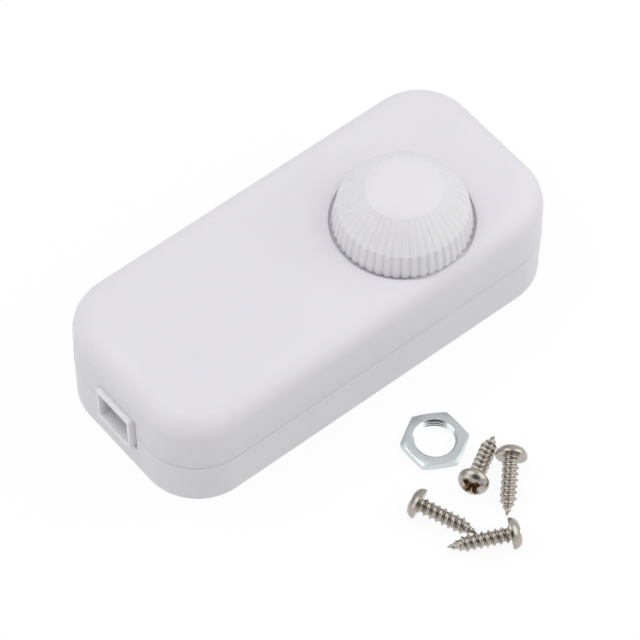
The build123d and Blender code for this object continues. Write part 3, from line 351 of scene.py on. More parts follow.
looks = {
    "casePlastic": newLook(
        (229, 227, 232), (225, 223, 229), 45.0, (0.42, 0.50), 0.12, 3500.0, subsurface=0.5,
    ),
    "knobPlastic": newLook(
        (231, 229, 233), (227, 225, 230), 80.0, (0.40, 0.48), 0.10, 4200.0, subsurface=0.5,
    ),
    # the case's white plastic made lighter for the collars: painted light, standing in for light
    # that comes through their thin walls
    "collarLitPlastic": newLook(
        (241, 239, 242), (236, 234, 238), 120.0, (0.42, 0.52), 0.12, 3800.0, subsurface=0.6,
    ),
    # a darker, browner copy of the nickel for the cross recess's faces: painted shade and a warm
    # painted reflection deep in the recess
    "screwRecessShade": newLook(
        (174, 150, 126), (118, 96, 76), 900.0, (0.30, 0.45), 0.10, 3000.0, metallic=1.0,
    ),
    "screwNickel": newLook(
        (184, 178, 170), (159, 152, 143), 700.0, (0.15, 0.30), 0.10, 3000.0, metallic=1.0,
    ),
    "nutZinc": newLook(
        (213, 219, 220), (195, 203, 206), 350.0, (0.18, 0.28), 0.05, 5000.0, metallic=1.0,
    ),
    "zincPlate": newLook(
        (190, 192, 190), (170, 170, 164), 400.0, (0.28, 0.42), 0.2, 7000.0, metallic=1.0,
    ),
    "shaftAluminium": newLook(
        (198, 199, 202), (184, 186, 190), 300.0, (0.25, 0.38), 0.2, 7000.0, metallic=1.0,
    ),
    "phenolic": newLook((126, 84, 46), (108, 68, 36), 240.0, (0.45, 0.6), 0.3, 2500.0, mottle=0.9),
    "carbonTrack": newLook((34, 33, 33), (26, 25, 26), 500.0, (0.5, 0.7), 0.3),
    "blackPlastic": newLook((38, 38, 40), (30, 30, 32), 200.0, (0.35, 0.5), 0.2),
    "contactBrass": newLook(
        (206, 172, 104), (188, 150, 84), 400.0, (0.22, 0.36), 0.2, metallic=1.0,
    ),
    "terminalPlastic": newLook((58, 122, 78), (50, 110, 70), 150.0, (0.35, 0.48), 0.2),
    "fuseGlass": newLook(
        (240, 244, 242), (234, 240, 238), 100.0, (0.02, 0.05), 0.0, transmission=1.0,
    ),
    "filmPlastic": newLook((206, 176, 60), (196, 164, 52), 160.0, (0.3, 0.42), 0.2),
    "timingPlastic": newLook((120, 44, 38), (104, 36, 32), 160.0, (0.3, 0.45), 0.2),
    "resistorCoat": newLook((206, 186, 150), (194, 172, 136), 260.0, (0.4, 0.55), 0.25),
    "diacGlass": newLook((54, 92, 150), (44, 78, 134), 300.0, (0.12, 0.2), 0.05),
    "coreCoat": newLook((212, 190, 86), (200, 176, 74), 220.0, (0.35, 0.5), 0.3),
    "windingCopper": newLook((176, 96, 52), (156, 78, 40), 300.0, (0.25, 0.38), 0.2, metallic=1.0),
}


def newMaterial(name, look):
    material = bpy.data.materials.new(name)
    material.use_nodes = True
    tree = material.node_tree
    shader = tree.nodes["Principled BSDF"].inputs
    group = addNode(tree, "Group", {
        "Colour": linear(look["colour"]),
        "Second Colour": linear(look["second"]),
        "Mottle Scale": look["mottleScale"],
        "Mottle Amount": look["mottle"],
        "Grain Scale": look["grainScale"],
        "Roughness Low": look["roughness"][0],
        "Roughness High": look["roughness"][1],
    }, node_tree=surfaceGroup)
    bump = addNode(tree, "Bump", {"Strength": look["grain"], "Distance": surface["grainDepth"]})
    shader["Metallic"].default_value = look["metallic"]
    shader["IOR"].default_value = look["ior"]
    shader["Transmission Weight"].default_value = look["transmission"]
    if look["subsurface"]:
        shader["Subsurface Weight"].default_value = look["subsurface"]
        shader["Subsurface Scale"].default_value = surface["subsurfaceScale"]
        shader["Subsurface Radius"].default_value = surface["subsurfaceRadius"]
    linkNodes(tree, [
        (group.outputs["Colour"], shader["Base Color"]),
        (group.outputs["Roughness"], shader["Roughness"]),
        (group.outputs["Grain"], bump.inputs["Height"]),
        (bump.outputs["Normal"], shader["Normal"]),
    ])
    return material


materials = {name: newMaterial(name, look) for name, look in looks.items()}

# the nodes that aren't named here are zinc plated
nodeFinishes = {
    "casePlastic": ("top_cover", "base_cover"),
    "collarLitPlastic": ("cord_collar_in", "cord_collar_out", "cord_clamp_in", "cord_clamp_out"),
    "screwNickel": ("case_screws", "loose_screws"),
    "nutZinc": ("loose_nut", "pot_nut"),
    "phenolic": ("pot_wafer", "switch_housing", "circuit_board"),
    "carbonTrack": ("pot_track",),
    "shaftAluminium": ("pot_shaft", "heat_sink"),
    "blackPlastic": ("wiper_carrier", "switch_rotor", "triac_body"),
    "contactBrass": ("wiper", "switch_contacts", "fuse_clips"),
    "knobPlastic": ("knob",),
    "terminalPlastic": ("input_terminal_block", "output_terminal_block"),
    "fuseGlass": ("fuse_tube",),
    "filmPlastic": ("film_capacitor",),
    "timingPlastic": ("timing_capacitor",),
    "resistorCoat": ("resistors",),
    "diacGlass": ("diac",),
    "coreCoat": ("choke_core",),
    "windingCopper": ("choke_winding",),
}
finishOf = {node: finish for finish, nodes in nodeFinishes.items() for node in nodes}
for name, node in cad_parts.items():
    node.data.materials.clear()
    node.data.materials.append(materials[finishOf.get(name, "zincPlate")])
print("materials set")


# helpers for modelling; pieces are drawn in millimetres and become metres at the end
same = 1e-4                   # points closer than this become one
tiny = 1e-5                   # the finer limit, for cuts and for edges without length
slack = 0.01                  # a smaller difference than this counts as none
# each corner's signs, and where its arc starts
quarters = ((1, 1, 0), (-1, 1, 90), (-1, -1, 180), (1, -1, 270))


def turnProfile(points, steps, centre=(0, 0, 0), rise=0.0, turns=1.0):
    # points are radius and height; a rise makes a helix
    bm = bmesh.new()
    verts = [bm.verts.new((radius, 0, height)) for radius, height in points]
    edges = [bm.edges.new(couple) for couple in zip(verts, verts[1:])]
    bmesh.ops.spin(
        bm, geom=verts + edges, cent=(0, 0, 0), axis=(0, 0, 1), dvec=(0, 0, rise / steps),
        angle=2 * pi * turns, steps=round(steps * turns), use_merge=rise == 0,
    )
    bmesh.ops.remove_doubles(bm, verts=bm.verts, dist=same)
    bmesh.ops.recalc_face_normals(bm, faces=bm.faces)
    bmesh.ops.translate(bm, verts=bm.verts, vec=centre)
    return bm


def bend(first, corner, last, steps):
    # a rounded corner between two points
    first, corner, last = Vector(first), Vector(corner), Vector(last)
    parts = [step / steps for step in range(steps + 1)]
    return [tuple((1 - t) ** 2 * first + 2 * t * (1 - t) * corner + t * t * last) for t in parts]


def easedProfile(points, steps):
    # a third number at a point is the length over which its corner is rounded
    eased = []
    for index, point in enumerate(points):
        corner = Vector(point[:2])
        if len(point) < 3:
            eased.append(tuple(corner))
            continue
        before, after = (Vector(points[index + way][:2]) - corner for way in (-1, 1))
        start = corner + before.normalized() * point[2]
        end = corner + after.normalized() * point[2]
        eased += bend(start, corner, end, steps)
    return eased


def roundedRectangle(halfX, halfY, radius, steps):
    # halfX and halfY are where the corners' arcs have their centres
    points = []
    for sx, sy, start in quarters:
        for step in range(steps + 1):
            a = radians(start + 90 * step / steps)
            points.append((sx * halfX + radius * cos(a), sy * halfY + radius * sin(a)))
    return points


def boxSolid(size, middle):
    bm = bmesh.new()
    bmesh.ops.create_cube(bm, size=1.0)
    bmesh.ops.scale(bm, verts=bm.verts, vec=size)
    bmesh.ops.translate(bm, verts=bm.verts, vec=middle)
    return bm


def cylinderSolid(radius, low, high, place, segments, topRadius=None):
    bm = bmesh.new()
    bmesh.ops.create_cone(
        bm, cap_ends=True, segments=segments, radius1=radius,
        radius2=radius if topRadius is None else topRadius, depth=high - low,
    )
    bmesh.ops.translate(bm, verts=bm.verts, vec=(place[0], place[1], (low + high) / 2))
    return bm


def posts(places, radius, low, high, segments):
    return [cylinderSolid(radius, low, high, place, segments) for place in places]


def turnUpright(bm, angle):
    turn = Matrix.Rotation(radians(angle), 3, "Z")
    bmesh.ops.rotate(bm, verts=bm.verts, cent=(0, 0, 0), matrix=turn)


def bevelEdges(bm, edges, offset):
    bmesh.ops.bevel(
        bm, geom=edges, offset=offset, segments=3, profile=0.5, affect="EDGES", material=-1,
    )


def trimHeights(bm, low, high):
    # keeps what lies between two heights, with open ends
    for level, side in ((low, -1), (high, 1)):
        bmesh.ops.bisect_plane(
            bm, geom=bm.verts[:] + bm.edges[:] + bm.faces[:], dist=tiny,
            plane_co=(0, 0, level), plane_no=(0, 0, side), clear_outer=True,
        )


def closeEnds(bm):
    bmesh.ops.holes_fill(bm, edges=[e for e in bm.edges if e.is_boundary])
    bmesh.ops.recalc_face_normals(bm, faces=bm.faces)


def settle(obj):
    # applies the object's modifiers to its mesh
    graph = bpy.context.evaluated_depsgraph_get()
    mesh = bpy.data.meshes.new_from_object(obj.evaluated_get(graph), depsgraph=graph)
    old = obj.data
    obj.modifiers.clear()
    obj.data = mesh
    bpy.data.meshes.remove(old)


def discard(obj):
    mesh = obj.data
    bpy.data.objects.remove(obj)
    bpy.data.meshes.remove(mesh)


def combine(bm, tools, operation):
    # joins the tools to a solid or cuts them out of it, one after another
    obj = meshObject(bm, "draft")
    for tool in tools:
        cutter = meshObject(tool, "tool")
        modifier = obj.modifiers.new("cut", "BOOLEAN")
        modifier.operation = operation
        modifier.solver = "EXACT"
        modifier.object = cutter
        settle(obj)
        discard(cutter)
    made = bmesh.new()
    made.from_mesh(obj.data)
    discard(obj)
    bmesh.ops.remove_doubles(made, verts=made.verts, dist=tiny)
    return made


def finishPiece(bm, name, body, material, node, sharp):
    bmesh.ops.scale(bm, verts=bm.verts, vec=(mm, mm, mm))
    for face in bm.faces:
        face.smooth = True
    piece = meshObject(bm, name)
    mesh = piece.data
    mesh.set_sharp_from_angle(angle=radians(sharp))
    mesh.materials.append(materials[material])
    # faces with a second material index take the recess's painted shade and painted reflection
    if any(face.material_index for face in mesh.polygons):
        mesh.materials.append(materials["screwRecessShade"])
    weighted = piece.modifiers.new("evenShade", "WEIGHTED_NORMAL")
    weighted.keep_sharp = True
    settle(piece)
    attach(piece, body)
    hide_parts(node)
    return piece


# knob: a hollow turned dome with 48 grooves that run up its band and shoulder
knob = {
    "bottom": 25.2,
    "bandTop": 30.6,
    "shoulderTop": 36.2,
    "top": 37.4,
    "radius": 14.55,
    "bandTopRadius": 13.6,
    "capRadius": 8.0,
    "capFlatness": 3.6,       # the higher, the flatter its middle and the rounder its edge
    "footWidth": 1.0,
    "footEase": 0.12,
    "bandEase": 0.30,
    "bulge": 0.16,            # how far the shoulder swells at its middle, and in which direction
    "bulgeOut": 0.69,
    "bulgeUp": 0.73,
    "bandRows": 5,
    "shoulderRows": 14,
    "capRows": 12,
    "easeRows": 4,
    "grooves": 48,
    "columns": 12,            # columns of faces from one groove to the next
    "grooveDepth": 0.36,
    "grooveHalf": 0.53,       # half of a groove's width on the band
    "grooveRound": 1.4,       # the higher, the softer a groove's lips
    "shoulderHalf": 0.9,      # the part of that width with which a groove starts on the shoulder
    "shoulderDepth": 0.19,
    "endDepth": 0.08,
    "endHalf": 0.24,
    "endRadius": 8.05,        # where the grooves stop, at the smooth cap
    "endWall": 0.07,          # the width of the small wall in which they stop
    "ribCrown": 0.05,
    "bandSkin": 0.5,          # how far in from the band and under the shoulder the outside reaches
    "shoulderSkin": 0.2,
    "seam": 0.05,             # how far above the band's top the shoulder's own cut starts
    "wall": 1.8,
    "hubRadius": 5.5,
    "hubBottom": 28.4,
    "boreRadius": 3.02,
    "boreFlat": 1.52,
    "boreTop": 34.6,
    "sharp": 60.0,
}


def knobOutside():
    k = knob
    foot, band, cap = k["radius"], k["bandTopRadius"], k["capRadius"]
    bottom, low, high, top = (k[place] for place in ("bottom", "bandTop", "shoulderTop", "top"))
    outer = [(foot - k["footWidth"], bottom), (foot, bottom, k["footEase"])]
    for step in range(1, k["bandRows"]):
        t = step / k["bandRows"]
        outer.append((foot + (band - foot) * t, bottom + (low - bottom) * t))
    outer.append((band, low, k["bandEase"]))
    for step in range(1, k["shoulderRows"]):
        t = step / k["shoulderRows"]
        bulge = k["bulge"] * 4 * t * (1 - t)
        radius = band + (cap - band) * t + bulge * k["bulgeOut"]
        outer.append((radius, low + (high - low) * t + bulge * k["bulgeUp"]))
    outer = easedProfile(outer + [(cap, high)], k["easeRows"])
    # two close rows stand where the grooves end in a small wall
    ended = []
    for first, second in zip(outer, outer[1:]):
        ended.append(first)
        for radius in (k["endRadius"] + k["endWall"], k["endRadius"]):
            if first[0] > radius > second[0] and first[1] > low:
                t = (first[0] - radius) / (first[0] - second[0])
                ended.append((radius, first[1] + t * (second[1] - first[1])))
    ended.append(outer[-1])
    for step in range(1, k["capRows"] + 1):
        across = 1 - step / k["capRows"]
        ended.append((cap * across, top - (top - high) * across ** k["capFlatness"]))
    return ended


def knobInside():
    k = knob
    wall, hub, bore = k["wall"], k["hubRadius"], k["boreRadius"]
    under = k["shoulderTop"] - wall
    return [
        (0.0, k["boreTop"]), (bore, k["boreTop"]), (bore, k["hubBottom"]), (hub, k["hubBottom"]),
        (hub, under), (hub + wall, under), (k["bandTopRadius"] - wall, k["bandTop"] - wall / 3),
        (k["radius"] - wall, k["bottom"]),
    ]


def grooveCut(angle, radius, height):
    # how deep the surface lies under the ribs' tops there
    k = knob
    if radius <= k["endRadius"] + slack:
        return 0.0
    pitch = 2 * pi / k["grooves"]
    away = angle % pitch - pitch / 2
    arc = abs(away) * radius
    up = (height - k["bandTop"]) / (k["shoulderTop"] - k["bandTop"])
    up = max(0.0, min(1.0, up))
    half = k["grooveHalf"]
    depth = k["grooveDepth"]
    if up > 0:
        half = k["grooveHalf"] * k["shoulderHalf"] * (1 - up) + k["endHalf"] * up
        depth = k["shoulderDepth"] * (1 - up) + k["endDepth"] * up
    crown = k["ribCrown"] * (1 - up) * (2 * abs(away) / pitch - 1) ** 2
    if arc >= half:
        return crown
    return crown + (depth - crown) * cos(pi / 2 * arc / half) ** k["grooveRound"]


def buildKnob():
    k = knob
    bm = turnProfile(knobInside() + knobOutside(), k["grooves"] * k["columns"])
    slope = atan2(k["shoulderTop"] - k["bandTop"], k["bandTopRadius"] - k["capRadius"])
    for vert in bm.verts:
        radius = hypot(vert.co.x, vert.co.y)
        angle = atan2(vert.co.y, vert.co.x)
        shoulder = k["shoulderTop"] - (radius - k["capRadius"]) * tan(slope)
        onBand = radius > k["bandTopRadius"] - k["bandSkin"]
        onShoulder = radius > k["endRadius"] and vert.co.z > shoulder - k["shoulderSkin"]
        if onBand or onShoulder:
            # the band is cut towards the axis, the shoulder square to its slope
            side, drop = grooveCut(angle, radius, vert.co.z), 0.0
            if vert.co.z > k["bandTop"] + k["seam"]:
                side, drop = side * sin(slope), side * cos(slope)
            vert.co.x -= side * cos(angle)
            vert.co.y -= side * sin(angle)
            vert.co.z -= drop
        elif radius < k["boreRadius"] + slack and vert.co.z < k["boreTop"] + slack:
            vert.co.y = min(vert.co.y, k["boreFlat"])
    bmesh.ops.translate(bm, verts=bm.verts, vec=knobAxis)
    finishPiece(
        bm, "domeKnob", "knob_and_shaft", "knobPlastic", "knob", k["sharp"],
    )


buildKnob()
print("knob built")


# tapping screws: a rolled thread that runs out at the point, a pan head and a cross recess;
# a screw is drawn with its point up, from the head's underside at zero
screw = {
    "length": 13.0,
    "radius": 1.75,
    "core": 1.27,
    "pitch": 1.36,
    "spareTurns": 2,          # turns of the thread that are cut off again at each end
    "root": 0.15,             # how far the shank reaches into the head
    "tip": 3.6,
    "tipCurve": 0.9,          # under 1 the tip is a little full
    "tipFlat": 0.04,
    "steps": 28,
    "headRadius": 3.25,
    "headEdge": 0.7,
    "headHeight": 2.3,
    "rimEase": 0.10,
    "headEase": 0.25,
    "headDome": ((2.92, -1.35, 0.25), (2.34, -1.90, 0.25), (1.20, -2.20, 0.4)),
    "easeRows": 3,
    "headSteps": 40,
    "recessSpan": 5.0,
    "recessWidth": 1.4,
    "recessDepth": 1.8,
    "recessTurn": 45,
    "recessOver": 0.3,        # how far the cutting form stands over the head
    "wingTaper": (0.42, 0.72),
    "wingDeep": -1.2,         # from this height towards the shank, the wings are drawn in
    "recessHeart": 1.6,
    "heartTip": 0.28,
    "heartDeeper": 0.25,
    "heartSteps": 16,
    "rest": 0.05,             # how far before the tip a loose screw lies on its thread
    "sharp": 35.0,
}
# the share of the pitch and of the thread's height, along one turn
threadShape = [
    (0.0, 0.0), (0.12, 0.05), (0.32, 0.42), (0.45, 1.0),
    (0.55, 1.0), (0.68, 0.42), (0.88, 0.05), (1.0, 0.0),
]
caseScrewTurns = (-26, -2, 36, 60)
# place, heading of the point and roll
looseScrews = [
    ((-0.2, -52.5), 30.6, 0),
    ((9.1, -53.1), -134.2, 35),
    ((-12.4, -50.2), -65.4, 62),
    ((-2.9, -66.8), 149.5, 20),
]


def threadedShank():
    s = screw
    rise = s["radius"] - s["core"]
    start = s["spareTurns"] * s["pitch"]
    points = [(s["core"] + rise * up, s["pitch"] * along - start) for along, up in threadShape]
    turns = int(s["length"] / s["pitch"]) + 2 * s["spareTurns"]
    bm = turnProfile(points, s["steps"], rise=s["pitch"], turns=turns)
    trimHeights(bm, -s["root"], s["length"] - s["tipFlat"])
    for vert in bm.verts:
        left = max(s["length"] - vert.co.z, 0.0)
        if left < s["tip"]:
            radius = hypot(vert.co.x, vert.co.y)
            shrink = (left / s["tip"]) ** s["tipCurve"]
            crest = max(0.0, radius - s["core"]) * shrink ** s["tipCurve"]
            wanted = s["core"] * shrink + crest
            vert.co.x *= wanted / radius
            vert.co.y *= wanted / radius
    closeEnds(bm)
    return bm


def crossTool():
    s = screw
    forms = []
    top = -s["headHeight"] - s["recessOver"]
    bottom = -s["headHeight"] + s["recessDepth"]
    for turn in (0, 90):
        size = (s["recessSpan"], s["recessWidth"], bottom - top)
        wing = boxSolid(size, (0, 0, (top + bottom) / 2))
        for vert in wing.verts:
            if vert.co.z > s["wingDeep"]:
                vert.co.x *= s["wingTaper"][0]
                vert.co.y *= s["wingTaper"][1]
        turnUpright(wing, turn + s["recessTurn"])
        forms.append(wing)
    forms.append(cylinderSolid(
        s["recessHeart"], top, bottom + s["heartDeeper"], (0, 0), s["heartSteps"], s["heartTip"],
    ))
    # the recess's faces get the second material, with its painted shade and painted reflection
    for form in forms:
        for face in form.faces:
            face.material_index = 1
    return forms


def buildScrew():
    s = screw
    head = turnProfile(easedProfile([
        (0.0, 0.0),
        (s["headRadius"], 0.0, s["rimEase"]),
        (s["headRadius"], -s["headEdge"], s["headEase"]),
        *s["headDome"],
        (0.0, -s["headHeight"]),
    ], s["easeRows"]), s["headSteps"])
    whole = combine(head, [threadedShank()], "UNION")
    return combine(whole, crossTool(), "DIFFERENCE")


def placedCopies(pattern, places):
    # the pattern once at each place, in one mesh
    mesh = bpy.data.meshes.new("pattern")
    pattern.to_mesh(mesh)
    bm = bmesh.new()
    for place in places:
        known = len(bm.verts)
        bm.from_mesh(mesh)
        bm.verts.ensure_lookup_table()
        bmesh.ops.transform(bm, matrix=place, verts=bm.verts[known:])
    bpy.data.meshes.remove(mesh)
    return bm


def turned(angle, axis="Z"):
    return Matrix.Rotation(angle, 4, axis)


def buildScrews():
    s = screw
    pattern = buildScrew()
    upright = [
        Matrix.Translation((*place, case["headSink"])) @ turned(radians(turn))
        for place, turn in zip(bossPlaces, caseScrewTurns)
    ]
    # a loose screw rests on its head's edge and its last full thread
    tilt = atan2(s["headRadius"] - s["radius"], s["length"] - s["tip"] - s["rest"])
    lift = s["headRadius"] * cos(tilt)
    lying = [
        Matrix.Translation((*place, lift)) @ turned(radians(heading))
        @ turned(pi / 2 + tilt, "Y") @ turned(radians(roll))
        for place, heading, roll in looseScrews
    ]
    for name, node, places in (
        ("caseScrews", "case_screws", upright),
        ("looseScrews", "loose_screws", lying),
    ):
        screws = placedCopies(pattern, places)
        finishPiece(screws, name, "case", "screwNickel", node, s["sharp"])
    pattern.free()


buildScrews()
print("screws built")


# hexagon nuts: chamfered corners, a chamfered bore and its thread
nut = {
    "flats": 12.4,
    "thickness": 2.0,
    "faceRadius": 5.98,       # where the corners' chamfer starts
    "chamferSlope": 0.36,
    "lensOver": 0.3,          # how far the chamfering form stands past the corners
    "corner": 0.18,
    "bore": 4.2,
    "boreChamfer": 0.28,
    "chamferWidth": 0.42,
    "threadRadius": 4.56,
    "threadPitch": 0.75,
    "threadRoot": 0.02,       # how far short of the bore's wall the thread's cutting form starts
    "threadTurns": 8,
    "spareTurns": 3,
    "threadOver": 0.3,
    "steps": 96,
    "threadSteps": 64,
    "sharp": 25.0,
}
nutThreadShape = [(0.0, 0.0), (0.2, 0.0), (0.5, 1.0), (0.58, 1.0), (0.88, 0.0), (1.0, 0.0)]
# name, the node that it replaces, place, underside and turn
nuts = [
    ("panelNut", "loose_nut", (0.64, -39.28), 0.0, 30.3),
    ("innerNut", "pot_nut", knobAxis.xy, 23.0, 15.0),
]


def threadTool():
    n = nut
    low = n["bore"] - n["threadRoot"]
    rise = n["threadRadius"] - low
    points = [
        (low + rise * up, n["threadPitch"] * (along - n["spareTurns"]))
        for along, up in nutThreadShape
    ]
    bm = turnProfile(points, n["threadSteps"], rise=n["threadPitch"], turns=n["threadTurns"])
    trimHeights(bm, -n["threadOver"], n["thickness"] + n["threadOver"])
    closeEnds(bm)
    return bm


def buildNut(name, node, place, bottom, turn):
    n = nut
    top = n["thickness"]
    cornerRadius = n["flats"] / sqrt(3)
    hexagon = cylinderSolid(cornerRadius, 0, top, (0, 0), 6)
    upright = [e for e in hexagon.edges if abs(e.verts[0].co.z - e.verts[1].co.z) > slack]
    bevelEdges(hexagon, upright, n["corner"])
    turnUpright(hexagon, turn - 90)      # its first corner stands on the y axis
    far = cornerRadius + n["lensOver"]
    drop = (far - n["faceRadius"]) * n["chamferSlope"]
    lens = turnProfile([
        (0, 0), (n["faceRadius"], 0), (far, drop), (far, top - drop), (n["faceRadius"], top),
        (0, top),
    ], n["steps"])
    wide = n["bore"] + n["chamferWidth"]
    bore = turnProfile([
        (0, -into), (wide + into, -into), (wide, 0), (n["bore"], n["boreChamfer"]),
        (n["bore"], top - n["boreChamfer"]), (wide, top), (wide + into, top + into),
        (0, top + into),
    ], n["steps"])
    body = combine(hexagon, [lens], "INTERSECT")
    body = combine(body, [bore, threadTool()], "DIFFERENCE")
    bmesh.ops.translate(body, verts=body.verts, vec=(*place, bottom))
    finishPiece(body, name, "case", "nutZinc", node, n["sharp"])


for settings in nuts:
    buildNut(*settings)
print("nuts built")


# covers: every row of faces is extruded from the last, round the case
def wovenShell(rows, closed):
    # rows hold one point for each column; the faces between them come from the extrusion
    bm = bmesh.new()
    bmesh.ops.create_circle(bm, segments=len(rows[0]), radius=1.0)
    column = {vert: index for index, vert in enumerate(bm.verts)}
    for vert, index in column.items():
        vert.co = rows[0][index]
    first = edges = bm.edges[:]
    for row in rows[1:] + (rows[:1] if closed else []):
        made = bmesh.ops.extrude_edge_only(bm, edges=edges)["geom"]
        fresh = [part for part in made if isinstance(part, bmesh.types.BMVert)]
        below = {}
        for vert in fresh:
            ends = [edge.other_vert(vert) for edge in vert.link_edges]
            below[vert] = next(end for end in ends if end in column)
        column = {vert: column[old] for vert, old in below.items()}
        for vert in fresh:
            vert.co = row[column[vert]]
        known = set(fresh)
        edges = [e for e in bm.edges if e.verts[0] in known and e.verts[1] in known]
    if not closed:
        bmesh.ops.contextual_create(bm, geom=first)
        bmesh.ops.contextual_create(bm, geom=edges)
    bmesh.ops.remove_doubles(bm, verts=bm.verts, dist=same)
    bmesh.ops.dissolve_degenerate(bm, edges=bm.edges, dist=tiny)
    bmesh.ops.recalc_face_normals(bm, faces=bm.faces)
    return bm


cover = {
    "fillet": 5.0,
    "draft": 1.0,
    "roof": 23.6,
    "innerFillet": 3.0,
    "innerArc": 5,            # points on the inner fillet
    "rebate": 1.1,
    "rebateTop": 13.55,
    "wellRadius": 15.07,
    "wellFloor": 22.4,
    "ledge": 24.7,            # the shallow step of the well under the knob's rim
    "middleRadius": 13.0,
    "wellUnder": 20.8,
    "wellWall": 1.6,
    "bushingHole": 4.6,
    "rimEase": 0.34,
    "rimShare": 0.4,          # the most of the rim's height that its easing takes
    "rimRows": 4,
    "partingEase": 0.12,
    "partingRows": 3,
    "flatRows": 4,
    "filletRows": 14,
    "closeRow": 0.4,          # rows this close to an edge keep its shading crisp
    "closeShare": 0.2,
    "sideRows": (16.5, 12.6),
    "farthest": 90.0,         # the outline is looked for from the knob's axis to here
    "halvings": 34,
    "cornerColumns": 12,
    "evenColumns": 144,
    "columnGap": 0.4,         # an even column this near to another one, in degrees, is left out
    "notchDepth": 6.0,
    "reliefDepth": 0.8,
    "reliefWidth": 0.95,
    "reliefOver": 1.0,
    "reliefEase": 0.3,
    "bossRadius": 3.5,
    "bossSteps": 40,
    "pilotRadius": 1.85,
    "pilotBottom": 7.0,
    "pilotTop": 17.9,
    "pilotSteps": 32,
    "sharp": 32.0,            # for both covers
}
cornerX = case["length"] / 2 - case["corner"]
cornerY = case["width"] / 2 - case["corner"]


def notchTools():
    # what both covers leave open for the cord's collars, with the shallow relief beside them
    c = cover
    low = case["collarBottom"] - case["collarFit"] / 2
    tall = case["collarHeight"] + case["collarFit"]
    wide = case["collarWidth"] + case["collarFit"]
    middle = low + tall / 2
    over = c["reliefOver"]
    tools = []
    for side in bothSides:
        wallMiddle = side * (case["length"] - case["wall"]) / 2
        tools.append(boxSolid((c["notchDepth"], wide, tall), (wallMiddle, 0, middle)))
        relief = boxSolid((2 * (c["reliefDepth"] + over), c["reliefWidth"] + 2 * over, tall), (
            side * (case["length"] / 2 + over),
            side * (wide / 2 + c["reliefWidth"] / 2 - over),
            middle,
        ))
        across = [e for e in relief.edges if abs(e.verts[0].co.x - e.verts[1].co.x) < slack]
        bevelEdges(relief, across, c["reliefEase"])
        tools.append(relief)
    return tools


def insideDistance(x, y):
    # how far inside the case's outline a point lies
    overX = abs(x) - cornerX
    overY = abs(y) - cornerY
    return case["corner"] - hypot(max(overX, 0), max(overY, 0)) - min(max(overX, overY), 0)


def fromAxis(angle, distance):
    return knobAxis.x + distance * cos(angle), knobAxis.y + distance * sin(angle)


def reach(angle, inset):
    # the distance from the knob's axis to the outline brought in by inset, found by halving
    low, high = 0.0, cover["farthest"]
    for _ in range(cover["halvings"]):
        middle = (low + high) / 2
        if insideDistance(*fromAxis(angle, middle)) > inset:
            low = middle
        else:
            high = middle
    return low


def filletMiddle(top, fillet):
    # how far inside the drafted side's foot a fillet's centre lies
    draft = radians(cover["draft"])
    return (top - fillet - case["parting"]) * tan(draft) + fillet / cos(draft)


def ledgeInset():
    # where the top fillet has come down to the ledge
    over = cover["ledge"] - (case["height"] - cover["fillet"])
    return filletMiddle(case["height"], cover["fillet"]) - sqrt(cover["fillet"] ** 2 - over ** 2)


def coverAngles():
    # columns stand at both ends of the ledge's straight edge, round the corners and between
    turn = asin((case["width"] / 2 - ledgeInset() + knobAxis.y) / cover["wellRadius"])
    corners = roundedRectangle(cornerX, cornerY, case["corner"], cover["cornerColumns"])
    needed = [2 * pi - turn, pi + turn]
    needed += [atan2(y - knobAxis.y, x - knobAxis.x) % (2 * pi) for x, y in corners]
    gap = radians(cover["columnGap"])
    even = [radians(360 * step / cover["evenColumns"]) for step in range(cover["evenColumns"])]
    return sorted(needed + [a for a in even if min(abs(a - other) for other in needed) > gap])


def coverInside(angle, ledgeEnd):
    # the section's inner side, from the parting line to the well, whose block stands in it
    c = cover
    parting = case["parting"]
    block, under = c["wellRadius"] + c["wellWall"], c["wellUnder"]
    ball = c["innerFillet"]
    middle = case["wall"] + filletMiddle(c["roof"], ball)
    inner = [(c["rebate"], parting), (c["rebate"], c["rebateTop"]), (case["wall"], c["rebateTop"])]
    for step in range(c["innerArc"]):
        t = max(radians(c["draft"]), pi / 2 * step / (c["innerArc"] - 1))
        inner.append((middle - ball * cos(t), c["roof"] - ball + ball * sin(t)))
    line = []
    for inset, z in inner:
        r = reach(angle, inset)
        line.append((r, min(z, under) if r < block else z))
    edge = min(block, line[-1][0])
    return line + [
        (edge, c["roof"] if edge == block else under),
        (edge, under),
        (c["bushingHole"], under),
        (c["bushingHole"], c["wellFloor"]),
        (c["middleRadius"], c["wellFloor"]),
        (c["middleRadius"], c["ledge"]),
        (ledgeEnd, c["ledge"]),
    ]


